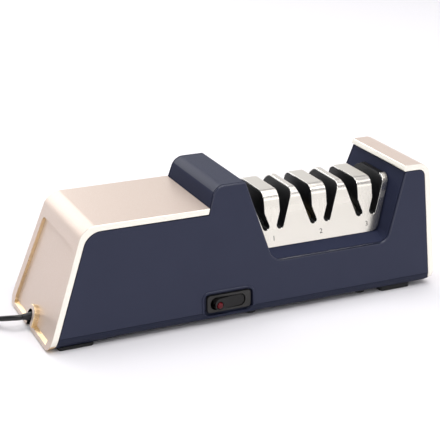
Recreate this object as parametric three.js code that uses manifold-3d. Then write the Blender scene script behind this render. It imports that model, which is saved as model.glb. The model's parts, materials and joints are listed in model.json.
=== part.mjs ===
// Electric knife sharpener: three pairs of guided slots under a steel head cover.
// Millimetres, +Z up. X runs along the body, and the side with the switch faces -Y.
// The origin is on the floor, under the middle of the body's box.

import * as THREE from 'three';
import { mergeVertices } from 'three/addons/utils/BufferGeometryUtils.js';
import Module from 'manifold-3d';

const wasm = await Module();
wasm.setup();

// Shared clearances and facet counts
const SEAT_GAP = 0.3;
const OVERRUN = 4;
const MERGE_TOLERANCE = 1e-4;
const FILLET_STEPS = 5;
const ROUND_SIDES = 24;
const SMALL_SIDES = 12;

// Body silhouette, seen from the front
const BODY_LENGTH = 278.6;
const LEFT_END = -BODY_LENGTH / 2;
const RIGHT_END = BODY_LENGTH / 2;
const FLOOR_HALF_WIDTH = 44.9;
const EDGE_RADIUS = 9;
const SIDE_DRAFT_SHARE = 0.11;
const END_SLOPE_SHARE = 0.357;
const RIGHT_SLOPE_SHARE = -0.041;
const END_COVER_BOTTOM = 0.6;
const BASE_BOTTOM = 3.8;
const SEAM_HEIGHT = 9.2;
const SHOULDER_HEIGHT = 77.5;
const SHOULDER_RADIUS = 12;
const TOWER_HEIGHT = 87.1;
const TOWER_LENGTH = 36.9;
const TOWER_RADIUS = 9;
const SKIRT_RADIUS = 8;

// Walls of the mouldings
const COVER_WALL = 3.9;
const CAP_WALL = 4.2;
const CAP_BOTTOM = 5.9;
const CAP_OVERHANG = 1.95;
const SHELL_WALL = 2.5;
const DECK_WALL = 2.5;

// Valley that holds the head
const VALLEY_HALF_LENGTH = 43.2;
const VALLEY_MIDDLE = RIGHT_END - TOWER_LENGTH - VALLEY_HALF_LENGTH;
const VALLEY_SLOPE_SHARE = 0.325;
const VALLEY_RADIUS = 9;
const LEDGE_HEIGHT = 36.2;
const DECK_HEIGHT = 39.4;
const DECK_HALF_WIDTH = 27.2;
const DECK_OPENING_HALF_WIDTH = 21.4;
const DECK_OPENING_HALF_LENGTH = 49.5;

// Hump to the left of the valley
const HUMP_HEIGHT = 91.2;
const HUMP_LENGTH = 42.9;
const HUMP_LEFT = VALLEY_MIDDLE - VALLEY_HALF_LENGTH - HUMP_LENGTH;
const HUMP_SLOPE_SHARE = 0.28;
const HUMP_RADIUS = 8;
const HUMP_EDGE_RADIUS = 1;

// Steel head cover and its slots
const STAGE_COUNT = 3;
const STAGE_PITCH = 35.4;
const SHEET = 1;
const HEAD_HEIGHT = 76.5;
const HEAD_HALF_TOP = 15;
const HEAD_BEND_RADIUS = 5.3;
const HEAD_LEAN_SHARE = 0.1944;
const HEAD_END_GAP = 1;
const HEAD_CORNER_RADIUS = 6;
const SLOT_BOTTOM = 51.3;
const SLOT_END_RADIUS = 2.6;
const SLOT_OFFSET = 5.3;
const SLOT_SLOPE_SHARE = 0.344;
const SLOT_THROAT = 5.6;
const SLOT_ROUND_SHARE = 0.95;

// Knife guides
const GUIDE_LIP = 0.25;
const GUIDE_SIDE_GAP = 0.2;
const CUP_SPACE_CLEARANCE = 1.3;
const CUP_SPACE_SIDE_CLEARANCE = 1;
const SPINDLE_GROOVE_CLEARANCE = 1.5;

// Spindle and abrasive cups
const AXIS_HEIGHT = 40;
const SPINDLE_RADIUS = 3;
const SPINDLE_LEFT_RUN = 68.2;
const SPINDLE_RIGHT_RUN = 59.3;
const SPINDLE_LEFT = VALLEY_MIDDLE - SPINDLE_LEFT_RUN;
const SPINDLE_RIGHT = VALLEY_MIDDLE + SPINDLE_RIGHT_RUN;
const CUP_RADIUS = 19;
const CUP_HUB_RADIUS = 7;
const CUP_HUB_FACE = 3.6;
const CUP_BOSS = 1.4;
const CUP_THICKNESS = 2;
const CUP_BORE_CLEARANCE = 0.3;
const CUP_SPRING_SEAT = 1.2;
const CROSS_PIN_RADIUS = 1;
const CROSS_PIN_LENGTH = 12;
const PIN_SIDES = 8;
const CUP_NAMES = ['coarse', 'fine', 'polishing'];
const CUP_COLOURS = [0x8d8f93, 0xc9b48c, 0xe4e0d6];

// Springs between the cups
const SPRING_RADIUS = 4.6;
const SPRING_WIRE_RADIUS = 0.45;
const SPRING_TURNS = 2.5;
const SPRING_STEPS = 8;
const SPRING_SIDES = 5;

// Bearings and their brackets
const BEARING_RADIUS = 9;
const BEARING_WIDTH = 6;
const BEARING_BORE_CLEARANCE = 0.3;
const LEFT_BEARING_RUN = 56.2;
const RIGHT_BEARING_RUN = 55.8;
const LEFT_BEARING_X = VALLEY_MIDDLE - LEFT_BEARING_RUN;
const RIGHT_BEARING_X = VALLEY_MIDDLE + RIGHT_BEARING_RUN;
const BRACKET_WIDTH = 26;
const BRACKET_RIM = 3;
const BRACKET_ROUND_SHARE = 0.6;
const BRACKET_FLANGE = 14;
const BRACKET_FLANGE_HEIGHT = 3;

// Motor: it fills the run between the left bay and the coupling
const LEFT_BAY_LENGTH = 53.3;
const COUPLING_RUN = 15;
const MOTOR_LEFT = LEFT_END + LEFT_BAY_LENGTH;
const MOTOR_LENGTH = SPINDLE_LEFT - COUPLING_RUN - MOTOR_LEFT;
const MOTOR_RADIUS = 20;
const MOTOR_WALL = 1.6;
const END_BELL_THICKNESS = 4;
const BELL_BORE_CLEARANCE = 0.6;
const ARMATURE_RADIUS = 14.6;
const ARMATURE_END_CLEARANCE = 7;
const MOTOR_SHAFT_RADIUS = 2.5;
const MOTOR_SHAFT_STUB = 9;
const ARMATURE_SLOTS = 8;
const ARMATURE_SLOT_DEPTH = 3;
const ARMATURE_SLOT_WIDTH = 2.2;
const FAN_RADIUS = 17;
const FAN_PLATE = 1.4;
const FAN_BLADE_HEIGHT = 5.5;
const FAN_BLADE_THICKNESS = 1.3;
const FAN_BLADES = 8;
const FAN_HUB_RADIUS = 5.5;
const FAN_GAP = 2;
const FAN_BLADE_INSET = 1;
const COUPLING_RADIUS = 8;
const COUPLING_LENGTH = 15;
const CRADLE_LENGTH_SHARE = 0.71;
const CRADLE_LENGTH = MOTOR_LENGTH * CRADLE_LENGTH_SHARE;
const CRADLE_WIDTH = 44;
const CRADLE_HEIGHT_SHARE = 0.62;
const STRAP_WIDTH = 12;
const STRAP_THICKNESS = 1.5;
const STRAP_EAR = 7;

// Base tray, feet and screws
const BASE_FLOOR = 2.5;
const CORNER_PAD_BOTTOM = 2.5;
const CORNER_PAD_LENGTH = 38.8;
const CORNER_PAD_RUN = 11;
const FOOT_LENGTH = 22.8;
const FOOT_WIDTH = 8;
const FOOT_INSET = 3.9;
const FOOT_CORNER_SHARE = 0.25;
const FOOT_CORNER_STEPS = 3;
const LEFT_FOOT_RUN = 19.2;
const RIGHT_FOOT_RUN = 28.7;
const MIDDLE_FOOT_RADIUS = 4;
const MIDDLE_FOOT_INSET = 11.5;
const FIRST_MIDDLE_FOOT_RUN = 56.9;
const SECOND_MIDDLE_FOOT_RUN = 26.7;
const SCREW_HEAD_RADIUS = 3;
const SCREW_HEAD_HEIGHT = 1.2;
const SCREW_RADIUS = 1.5;
const SCREW_LENGTH = 17;
const SCREW_HOLE_CLEARANCE = 0.35;
const SCREW_BOSS = 9;
const SCREW_BOSS_HEIGHT = 18;
const SCREW_INSET = 8.5;
const LEFT_SCREW_RUN = 45.3;
const RIGHT_SCREW_RUN = 11.3;
const VENT_COUNT = 4;
const VENT_WIDTH = 2.4;
const VENT_LENGTH = 30;
const VENT_PITCH = 5;

// Filings drawer
const DRAWER_LENGTH = 78;
const DRAWER_DEPTH = 66;
const DRAWER_WALL = 1.8;
const DRAWER_CLEARANCE = 0.4;
const DRAWER_TOP = 17;
const DRAWER_GRIP_LENGTH = 26;
const DRAWER_GRIP_HEIGHT = 4;
const DRAWER_GRIP_DEPTH = 1;

// Switch
const SWITCH_RUN = 9.6;
const SWITCH_X = HUMP_LEFT + SWITCH_RUN;
const SWITCH_Z = 14;
const BEZEL_LENGTH = 31;
const BEZEL_HEIGHT = 11.8;
const BEZEL_DEPTH = 2;
const BEZEL_RADIUS = 2.2;
const SURROUND_MARGIN = 1.8;
const SURROUND_DEPTH = 2.1;
const SWITCH_BODY_LENGTH = 27.6;
const SWITCH_BODY_HEIGHT = 10.6;
const SWITCH_BODY_DEPTH = 17;
const ROCKER_RADIUS = 12.4;
const ROCKER_END_INSET = 1.2;
const ROCKER_HEIGHT = 7.8;
const ROCKER_PIVOT_DEPTH = 4.2;
const ROCKER_PROUD = 0.5;
const ROCKER_DEPTH = 2.5;
const ROCKER_BACK_SHARE = 0.72;
const ROCKER_ROUND_SHARE = 0.46;
const ROCKER_TILT = THREE.MathUtils.degToRad(9);
const WELL_DEPTH = 5;
const LENS_RADIUS = 2.2;
const LENS_HEIGHT = 1.2;
const LENS_PROUD = 0.5;
const LENS_OFFSET = 7.4;
const LENS_DROP = 0.8;

// Pocket and cord outlet in the left end
const POCKET_MARGIN = 7.4;
const POCKET_BOTTOM = 5;
const POCKET_TOP = 63.1;
const POCKET_DEPTH = 2.2;
const POCKET_RADIUS = 3;
const OUTLET_HALF_WIDTH = 7.8;
const OUTLET_RISE = 15.2;
const OUTLET_PROUD = 1.4;
const OUTLET_ROUND_SHARE = 0.95;
const CORD_HEIGHT = 8.3;
const OUTLET_HOLE_RADIUS = 4.6;

// Strain relief and cord clamp
const RELIEF_RADIUS = 4.2;
const RELIEF_INNER_RUN = 27.3;
const RELIEF_SHOULDER_RUN = 5.8;
const RELIEF_PROUD = 3.7;
const RELIEF_INNER = LEFT_END + RELIEF_INNER_RUN;
const RELIEF_SHOULDER = LEFT_END + RELIEF_SHOULDER_RUN;
const RELIEF_TIP = LEFT_END - RELIEF_PROUD;
const RELIEF_TIP_RADIUS = 2.3;
const CLAMP_LENGTH = 6;
const CLAMP_WIDTH = 12;
const CLAMP_HEIGHT = 7;

// Rectifier board
const BOARD_RUN = 20.3;
const BOARD_LEFT = LEFT_END + BOARD_RUN;
const BOARD_LENGTH = 24;
const BOARD_WIDTH = 22;
const BOARD_THICKNESS = 1.6;
const BOARD_MIDDLE_Y = 18;
const BOARD_STANDOFF = 4;
const BOARD_STANDOFF_RADIUS = 2;
const CAPACITOR_RADIUS = 4;
const CAPACITOR_HEIGHT = 11;

// Cord: its free stretches are chosen by hand, and the coil lies past the left end
const CORD_DIAMETER = 3.6;
const CORD_SIDES = 8;
const CORD_STEP = 8;
const COIL_X = -193.1;
const COIL_Y = 24.5;
const COIL_TURNS = 4;
const COIL_PITCH = 4.1;
const COIL_OUTER_RADIUS = 28.7;
const COIL_CLIMB_TURNS = 0.5;
const COIL_START_ANGLE = THREE.MathUtils.degToRad(11.5);
const COIL_END_ANGLE = THREE.MathUtils.degToRad(150);
const COIL_STEPS = 24;
const COIL_SIDES = 6;
const CORD_LEAD_POINTS = [
  [-143.3, 0, 8.3], [-145.2, 0.15, 8.3], [-147.1, 0.7, 8.25], [-148.9, 1.65, 8.05], [-150.6, 2.9, 7.7],
  [-152.2, 4.4, 7.25], [-153.7, 6.1, 6.7], [-155.1, 8, 6.05], [-156.4, 10, 5.3], [-157.7, 12.1, 4.5],
  [-158.9, 14.2, 3.7], [-160.1, 16.4, 2.95], [-161.2, 18.6, 2.35], [-162.2, 20.8, 1.95], [-163.1, 23, 1.8],
  [-163.8, 24.9, 1.8], [-164.2, 26.4, 1.8],
];
const CORD_TAIL_POINTS = [
  [-219.5, 35.2, 5.9], [-220.6, 33.3, 5.75], [-221.6, 31.3, 5.3], [-222.5, 29.3, 4.7], [-223.3, 27.2, 4.05],
  [-224, 25.1, 3.45], [-224.6, 22.9, 3], [-225.1, 20.7, 2.7], [-225.5, 18.5, 2.65], [-225.75, 16.3, 2.9],
  [-225.9, 14.1, 3.5], [-225.97, 11.9, 4.3], [-226, 9.7, 5.15], [-226, 7.7, 5.95], [-226, 5.9, 6.5],
  [-226, 4.1, 6.75], [-226, 2.3, 6.8],
];

// Plug
const PLUG_X = -226;
const PLUG_RELIEF_START = 2;
const PLUG_RELIEF_LENGTH = 14;
const PLUG_RELIEF_RADIUS = 4.4;
const PLUG_RELIEF_TIP_RADIUS = 2.4;
const PLUG_BODY_LENGTH = 22;
const PLUG_WIDTH = 24;
const PLUG_HEIGHT = 13.6;
const PLUG_NOSE_WIDTH = 17;
const PLUG_CORNER_RADIUS = 3;
const BLADE_SPACING = 12.7;
const BLADE_LENGTH = 17;
const BLADE_WIDTH = 6.3;
const BLADE_THICKNESS = 1.5;

// Materials
const material = (color, roughness, metalness = 0) =>
  new THREE.MeshStandardMaterial({ color, roughness, metalness });
const NAVY = material(0x3c3f4f, 0.55);
const DARK_NAVY = material(0x24283c, 0.6);
const CHAMPAGNE = material(0xd8c9bd, 0.35, 0.4);
const STEEL = material(0xd6d3ce, 0.3, 1);
const BLACK_PLASTIC = material(0x151518, 0.45);
const RUBBER = material(0x101012, 0.85);
const RED_LENS = material(0xb01218, 0.2);
const SHAFT_STEEL = material(0xa9abad, 0.25, 1);
const MOTOR_STEEL = material(0x8a8d90, 0.4, 1);
const BOARD_GREEN = material(0x2f5a3a, 0.6);
const BRASS = material(0xc8a75a, 0.3, 1);

// Solids and meshes

function solid(geometry) {
  const bare = geometry.clone();
  bare.deleteAttribute('normal');
  bare.deleteAttribute('uv');
  const merged = mergeVertices(bare, MERGE_TOLERANCE);
  const faces = [];
  for (let i = 0; i < merged.index.count; i += 3) {
    const [a, b, c] = merged.index.array.slice(i, i + 3);
    if (a !== b && b !== c && c !== a) {
      faces.push(a, b, c);
    }
  }
  return new wasm.Manifold(new wasm.Mesh({
    numProp: 3,
    vertProperties: new Float32Array(merged.attributes.position.array),
    triVerts: new Uint32Array(faces),
  }));
}

const join = (first, ...others) => others.reduce((whole, other) => whole.add(other), first);
const cut = (first, ...others) => others.reduce((whole, other) => whole.subtract(other), first);
const common = (first, ...others) => others.reduce((whole, other) => whole.intersect(other), first);

const part = new THREE.Group();

function place(name, body, finish) {
  const mesh = body.getMesh();
  const geometry = new THREE.BufferGeometry();
  geometry.setAttribute('position', new THREE.BufferAttribute(new Float32Array(mesh.vertProperties), 3));
  geometry.setIndex(new THREE.BufferAttribute(new Uint32Array(mesh.triVerts), 1));
  geometry.computeVertexNormals();
  const piece = new THREE.Mesh(geometry, finish);
  piece.name = name;
  part.add(piece);
}

// Outlines: each corner is [across, up, fillet radius]
function rounded(corners, steps = FILLET_STEPS) {
  const points = [];
  corners.forEach(([x, z, radius = 0], index) => {
    const here = new THREE.Vector2(x, z);
    if (!(radius > 0)) {
      points.push(here);
      return;
    }
    const [backX, backZ] = corners.at(index - 1);
    const [nextX, nextZ] = corners[(index + 1) % corners.length];
    const back = new THREE.Vector2(backX, backZ).sub(here).normalize();
    const ahead = new THREE.Vector2(nextX, nextZ).sub(here).normalize();
    const halfAngle = Math.acos(THREE.MathUtils.clamp(back.dot(ahead), -1, 1)) / 2;
    const start = here.clone().addScaledVector(back, radius / Math.tan(halfAngle));
    const middle = back.clone().add(ahead).normalize();
    const centre = here.clone().addScaledVector(middle, radius / Math.sin(halfAngle));
    const turn = Math.sign(ahead.cross(back)) * (Math.PI - 2 * halfAngle);
    for (let step = 0; step <= steps; step += 1) {
      points.push(start.clone().rotateAround(centre, turn * step / steps));
    }
  });
  return points;
}

const shapeOf = (points) => new THREE.Shape(points);
const extruded = (points, depth) =>
  new THREE.ExtrudeGeometry(shapeOf(points), { depth, bevelEnabled: false, steps: 1 });

const ALONG_X = new THREE.Matrix4().makeBasis(
  new THREE.Vector3(0, 1, 0), new THREE.Vector3(0, 0, 1), new THREE.Vector3(1, 0, 0));
const ALONG_Y = new THREE.Matrix4().makeBasis(
  new THREE.Vector3(1, 0, 0), new THREE.Vector3(0, 0, 1), new THREE.Vector3(0, -1, 0));

// An outline in X and Z, run along Y
function sideways(points, yLow, yHigh) {
  return solid(extruded(points, yHigh - yLow).applyMatrix4(ALONG_Y).translate(0, yHigh, 0));
}

// An outline in Y and Z, run along X
function lengthways(points, xLow, xHigh) {
  return solid(extruded(points, xHigh - xLow).applyMatrix4(ALONG_X).translate(xLow, 0, 0));
}

// An outline in X and Y, run up Z
function upwards(points, zLow, zHigh) {
  return solid(extruded(points, zHigh - zLow).translate(0, 0, zLow));
}

function block(xLow, xHigh, yLow, yHigh, zLow, zHigh) {
  const geometry = new THREE.BoxGeometry(xHigh - xLow, yHigh - yLow, zHigh - zLow);
  return solid(geometry.translate((xLow + xHigh) / 2, (yLow + yHigh) / 2, (zLow + zHigh) / 2));
}

function rodX(radius, xLow, xHigh, y, z, sides = ROUND_SIDES) {
  const geometry = new THREE.CylinderGeometry(radius, radius, xHigh - xLow, sides).rotateZ(Math.PI / 2);
  return solid(geometry.translate((xLow + xHigh) / 2, y, z));
}

function rodY(radius, yLow, yHigh, x, z, sides = ROUND_SIDES) {
  const geometry = new THREE.CylinderGeometry(radius, radius, yHigh - yLow, sides);
  return solid(geometry.translate(x, (yLow + yHigh) / 2, z));
}

function rodZ(radius, zLow, zHigh, x, y, sides = SMALL_SIDES) {
  const geometry = new THREE.CylinderGeometry(radius, radius, zHigh - zLow, sides).rotateX(Math.PI / 2);
  return solid(geometry.translate(x, y, (zLow + zHigh) / 2));
}

// A closed profile of [radius, along] turned about the X axis at the given place
function turnedX(profile, x, y, z, sides = ROUND_SIDES) {
  const points = profile.map(([radius, along]) => new THREE.Vector2(radius, along));
  const geometry = new THREE.LatheGeometry(points, sides).rotateZ(-Math.PI / 2).translate(x, y, z);
  const body = solid(geometry);
  if (body.volume() > 0) {
    return body;
  }
  geometry.index.array.reverse();
  return solid(geometry);
}

// The body's sloping lines, as X at a height; side is +1 where the material lies towards +X
const END_LINE = { x0: LEFT_END - END_SLOPE_SHARE * END_COVER_BOTTOM, slope: END_SLOPE_SHARE, side: 1 };
const RIGHT_LINE = {
  x0: RIGHT_END - RIGHT_SLOPE_SHARE * (BASE_BOTTOM + SKIRT_RADIUS), slope: RIGHT_SLOPE_SHARE, side: -1,
};
const HUMP_LINE = { x0: HUMP_LEFT - HUMP_SLOPE_SHARE * SHOULDER_HEIGHT, slope: HUMP_SLOPE_SHARE, side: 1 };
const valleyEdge = (way) => ({
  x0: VALLEY_MIDDLE + way * (VALLEY_HALF_LENGTH - VALLEY_SLOPE_SHARE * LEDGE_HEIGHT),
  slope: way * VALLEY_SLOPE_SHARE,
  side: way,
});
const VALLEY_LEFT = valleyEdge(-1);
const VALLEY_RIGHT = valleyEdge(1);
const at = (line, z, inset = 0) => line.x0 + line.slope * z + line.side * inset * Math.hypot(1, line.slope);

// The front and back lean inwards, so half the width falls with height
const halfWidth = (z, inset = 0) =>
  FLOOR_HALF_WIDTH - SIDE_DRAFT_SHARE * z - inset * Math.hypot(1, SIDE_DRAFT_SHARE);

const BODY_TOP = HUMP_HEIGHT + OVERRUN;
const BODY_UNDER = -OVERRUN;
const BODY_LEFT = -BODY_LENGTH;
const BODY_RIGHT = BODY_LENGTH;
const WIDE = 2 * FLOOR_HALF_WIDTH;

function betweenSides(inset) {
  return lengthways([
    new THREE.Vector2(-halfWidth(BODY_UNDER, inset), BODY_UNDER),
    new THREE.Vector2(halfWidth(BODY_UNDER, inset), BODY_UNDER),
    new THREE.Vector2(halfWidth(BODY_TOP, inset), BODY_TOP),
    new THREE.Vector2(-halfWidth(BODY_TOP, inset), BODY_TOP),
  ], BODY_LEFT, BODY_RIGHT);
}

// The same sides, with the body's two lower edges rounded
function roundedSection() {
  return lengthways(rounded([
    [-halfWidth(END_COVER_BOTTOM), END_COVER_BOTTOM, EDGE_RADIUS],
    [halfWidth(END_COVER_BOTTOM), END_COVER_BOTTOM, EDGE_RADIUS],
    [halfWidth(BODY_TOP), BODY_TOP],
    [-halfWidth(BODY_TOP), BODY_TOP],
  ]), BODY_LEFT, BODY_RIGHT);
}

// Main housing

const SHOULDER_INNER = SHOULDER_HEIGHT - COVER_WALL;
const TOWER_INNER = TOWER_HEIGHT - CAP_WALL;
const SHELL_IN_COVER = COVER_WALL + SEAT_GAP;
const SHELL_IN_CAP = CAP_WALL + SEAT_GAP;
const HOUSING_BOTTOM = SEAM_HEIGHT + SEAT_GAP / 2;
const BASE_TOP = SEAM_HEIGHT - SEAT_GAP / 2;

function housingOutline(inset, bottom) {
  const tower = TOWER_INNER - SEAT_GAP - inset;
  const ledge = LEDGE_HEIGHT - inset;
  const hump = HUMP_HEIGHT - inset;
  const shoulder = SHOULDER_INNER - SEAT_GAP - inset;
  return rounded([
    [at(END_LINE, bottom, SHELL_IN_COVER + inset), bottom],
    [at(RIGHT_LINE, bottom, SHELL_IN_CAP + inset), bottom],
    [at(RIGHT_LINE, tower, SHELL_IN_CAP + inset), tower, TOWER_RADIUS - SHELL_IN_CAP - inset],
    [at(VALLEY_RIGHT, tower, inset), tower],
    [at(VALLEY_RIGHT, ledge, inset), ledge, VALLEY_RADIUS + inset],
    [at(VALLEY_LEFT, ledge, inset), ledge, VALLEY_RADIUS + inset],
    [at(VALLEY_LEFT, hump, inset), hump, HUMP_EDGE_RADIUS],
    [at(HUMP_LINE, hump, inset), hump, HUMP_RADIUS - inset],
    [at(HUMP_LINE, shoulder, inset), shoulder],
    [at(END_LINE, shoulder, SHELL_IN_COVER + inset), shoulder, SHOULDER_RADIUS - SEAT_GAP - inset],
  ]);
}

// The deck under the head rises from the ledge's front edge to a flat seat
const DECK_OUTLINE = [
  [-halfWidth(LEDGE_HEIGHT), LEDGE_HEIGHT - DECK_WALL],
  [halfWidth(LEDGE_HEIGHT), LEDGE_HEIGHT - DECK_WALL],
  [halfWidth(LEDGE_HEIGHT), LEDGE_HEIGHT],
  [DECK_HALF_WIDTH, DECK_HEIGHT],
  [-DECK_HALF_WIDTH, DECK_HEIGHT],
  [-halfWidth(LEDGE_HEIGHT), LEDGE_HEIGHT],
];

const outletHole = () => {
  const left = at(END_LINE, 0) - OUTLET_PROUD - OVERRUN;
  const right = at(END_LINE, CORD_HEIGHT, SHELL_IN_COVER + SHELL_WALL) + OVERRUN;
  return join(
    rodX(OUTLET_HOLE_RADIUS, left, right, 0, CORD_HEIGHT),
    block(left, right, -OUTLET_HOLE_RADIUS, OUTLET_HOLE_RADIUS, BODY_UNDER, CORD_HEIGHT),
  );
};

const reliefHole = () =>
  rodX(OUTLET_HOLE_RADIUS, at(END_LINE, 0), RELIEF_INNER + OVERRUN / 2, 0, CORD_HEIGHT);

const roundedBlock = (x, z, length, height, radius, yLow, yHigh) => sideways(rounded([
  [x - length / 2, z - height / 2, radius],
  [x + length / 2, z - height / 2, radius],
  [x + length / 2, z + height / 2, radius],
  [x - length / 2, z + height / 2, radius],
]), yLow, yHigh);

// The switch sits square to the floor, so its front is a plane of constant Y
const SWITCH_FRONT = -halfWidth(SWITCH_Z + BEZEL_HEIGHT / 2 + SURROUND_MARGIN);
const BEZEL_BACK = SWITCH_FRONT + SURROUND_DEPTH;
const SURROUND_LENGTH = BEZEL_LENGTH + 2 * SURROUND_MARGIN;
const SURROUND_HEIGHT = BEZEL_HEIGHT + 2 * SURROUND_MARGIN;
const SWITCH_BACK = BEZEL_BACK + SHELL_WALL;
const switchCut = () => join(
  roundedBlock(SWITCH_X, SWITCH_Z, SURROUND_LENGTH, SURROUND_HEIGHT, BEZEL_RADIUS + SURROUND_MARGIN,
    -FLOOR_HALF_WIDTH - OVERRUN, BEZEL_BACK),
  block(
    SWITCH_X - SWITCH_BODY_LENGTH / 2 - SEAT_GAP, SWITCH_X + SWITCH_BODY_LENGTH / 2 + SEAT_GAP,
    -FLOOR_HALF_WIDTH - OVERRUN, SWITCH_BACK + OVERRUN,
    SWITCH_Z - SWITCH_BODY_HEIGHT / 2 - SEAT_GAP, SWITCH_Z + SWITCH_BODY_HEIGHT / 2 + SEAT_GAP),
);

// The wall behind the switch's recess, between two heights
const switchWall = (zLow, zHigh) => common(
  block(SWITCH_X - SURROUND_LENGTH / 2 - SHELL_WALL, SWITCH_X + SURROUND_LENGTH / 2 + SHELL_WALL,
    -FLOOR_HALF_WIDTH, SWITCH_BACK, zLow, zHigh),
  betweenSides(SHELL_WALL / 2));

const DRAWER_BACK = halfWidth(DRAWER_TOP);
const DRAWER_FRONT = DRAWER_BACK - DRAWER_DEPTH;
const DRAWER_BOTTOM = BASE_BOTTOM + BASE_FLOOR + SEAT_GAP;
const drawerCut = () => block(
  VALLEY_MIDDLE - DRAWER_LENGTH / 2 - DRAWER_CLEARANCE,
  VALLEY_MIDDLE + DRAWER_LENGTH / 2 + DRAWER_CLEARANCE,
  DRAWER_FRONT - DRAWER_CLEARANCE, WIDE,
  BASE_BOTTOM + BASE_FLOOR, DRAWER_TOP + DRAWER_CLEARANCE);

const LEFT_SCREW_X = LEFT_END + LEFT_SCREW_RUN;
const RIGHT_SCREW_X = RIGHT_END - RIGHT_SCREW_RUN;
const SCREW_PLACES = [
  ['front_left', LEFT_SCREW_X, -1], ['front_right', RIGHT_SCREW_X, -1],
  ['rear_left', LEFT_SCREW_X, 1], ['rear_right', RIGHT_SCREW_X, 1],
];
const screwY = (way) => way * (halfWidth(SEAM_HEIGHT) - SCREW_INSET);
const SCREW_FOOT = BASE_BOTTOM + SEAT_GAP / 2;

function screwBoss(x, way) {
  const inner = screwY(way) - way * SCREW_BOSS / 2;
  const outer = way * halfWidth(SEAM_HEIGHT + SCREW_BOSS_HEIGHT, SHELL_WALL / 2);
  return block(x - SCREW_BOSS / 2, x + SCREW_BOSS / 2, Math.min(inner, outer), Math.max(inner, outer),
    HOUSING_BOTTOM, HOUSING_BOTTOM + SCREW_BOSS_HEIGHT);
}

const screwHole = (x, way) => rodZ(SCREW_RADIUS + SCREW_HOLE_CLEARANCE, BODY_UNDER,
  SCREW_FOOT + SCREW_HEAD_HEIGHT + SCREW_LENGTH + SEAT_GAP, x, screwY(way));

function mainHousing() {
  const outside = common(sideways(housingOutline(0, HOUSING_BOTTOM), -WIDE, WIDE), betweenSides(0));
  const inside = common(
    sideways(housingOutline(SHELL_WALL, BODY_UNDER), -WIDE, WIDE), betweenSides(SHELL_WALL));
  const deckSpan = sideways([
    [at(VALLEY_LEFT, LEDGE_HEIGHT, SHELL_WALL / 2), LEDGE_HEIGHT - DECK_WALL],
    [at(VALLEY_RIGHT, LEDGE_HEIGHT, SHELL_WALL / 2), LEDGE_HEIGHT - DECK_WALL],
    [at(VALLEY_RIGHT, DECK_HEIGHT, SHELL_WALL / 2), DECK_HEIGHT],
    [at(VALLEY_LEFT, DECK_HEIGHT, SHELL_WALL / 2), DECK_HEIGHT],
  ].map(([x, z]) => new THREE.Vector2(x, z)), -WIDE, WIDE);
  const deck = common(
    lengthways(DECK_OUTLINE.map(([y, z]) => new THREE.Vector2(y, z)), BODY_LEFT, BODY_RIGHT),
    deckSpan, betweenSides(0));
  const bosses = SCREW_PLACES.map(([, x, way]) => screwBoss(x, way));
  const opening = block(
    VALLEY_MIDDLE - DECK_OPENING_HALF_LENGTH, VALLEY_MIDDLE + DECK_OPENING_HALF_LENGTH,
    -DECK_OPENING_HALF_WIDTH, DECK_OPENING_HALF_WIDTH,
    LEDGE_HEIGHT - DECK_WALL - OVERRUN, AXIS_HEIGHT + SPINDLE_RADIUS + SPINDLE_GROOVE_CLEARANCE);
  const holes = SCREW_PLACES.map(([, x, way]) => screwHole(x, way));
  const panel = switchWall(HOUSING_BOTTOM, SWITCH_Z + SURROUND_HEIGHT / 2 + SHELL_WALL);
  const shell = join(cut(outside, inside), deck, panel, ...bosses);
  return cut(shell, opening, switchCut(), drawerCut(), reliefHole(), ...holes);
}

// Left end cover: one moulding over the slanted end and the shoulder

const SLANT = Math.hypot(1, END_SLOPE_SHARE);
const upEnd = (z) => z * SLANT;

function alongEnd(points, start, end) {
  const upSlope = new THREE.Vector3(END_SLOPE_SHARE, 0, 1).normalize();
  const across = new THREE.Vector3(0, 1, 0);
  const inwards = across.clone().cross(upSlope);
  const frame = new THREE.Matrix4().makeBasis(across, upSlope, inwards);
  frame.setPosition(new THREE.Vector3(at(END_LINE, 0), 0, 0).addScaledVector(inwards, start));
  return solid(extruded(points, end - start).applyMatrix4(frame));
}

function outletOutline(halfSpan, bottom, top) {
  return rounded([
    [-halfSpan, upEnd(bottom)], [halfSpan, upEnd(bottom)],
    [halfSpan, upEnd(top), halfSpan * OUTLET_ROUND_SHARE],
    [-halfSpan, upEnd(top), halfSpan * OUTLET_ROUND_SHARE],
  ]);
}

function leftEndCover() {
  const shoulder = SHOULDER_INNER;
  const strip = sideways(rounded([
    [at(END_LINE, END_COVER_BOTTOM), END_COVER_BOTTOM],
    [at(END_LINE, END_COVER_BOTTOM, COVER_WALL), END_COVER_BOTTOM],
    [at(END_LINE, shoulder, COVER_WALL), shoulder, SHOULDER_RADIUS],
    [at(HUMP_LINE, shoulder) - SEAT_GAP, shoulder],
    [at(HUMP_LINE, SHOULDER_HEIGHT) - SEAT_GAP, SHOULDER_HEIGHT],
    [at(END_LINE, SHOULDER_HEIGHT), SHOULDER_HEIGHT, SHOULDER_RADIUS],
  ]), -WIDE, WIDE);
  const pocketOutline = rounded([
    [-halfWidth(POCKET_BOTTOM) + POCKET_MARGIN, upEnd(POCKET_BOTTOM), POCKET_RADIUS],
    [halfWidth(POCKET_BOTTOM) - POCKET_MARGIN, upEnd(POCKET_BOTTOM), POCKET_RADIUS],
    [halfWidth(POCKET_TOP) - POCKET_MARGIN, upEnd(POCKET_TOP), POCKET_RADIUS],
    [-halfWidth(POCKET_TOP) + POCKET_MARGIN, upEnd(POCKET_TOP), POCKET_RADIUS],
  ]);
  const pocket = alongEnd(pocketOutline, -OVERRUN, POCKET_DEPTH);
  const outlet = alongEnd(
    outletOutline(OUTLET_HALF_WIDTH, POCKET_BOTTOM - SEAT_GAP, OUTLET_RISE), -OUTLET_PROUD, COVER_WALL);
  return cut(join(cut(common(strip, roundedSection()), pocket), outlet), outletHole());
}

// Right end cap: one moulding over the tower's top and the right end

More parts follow.
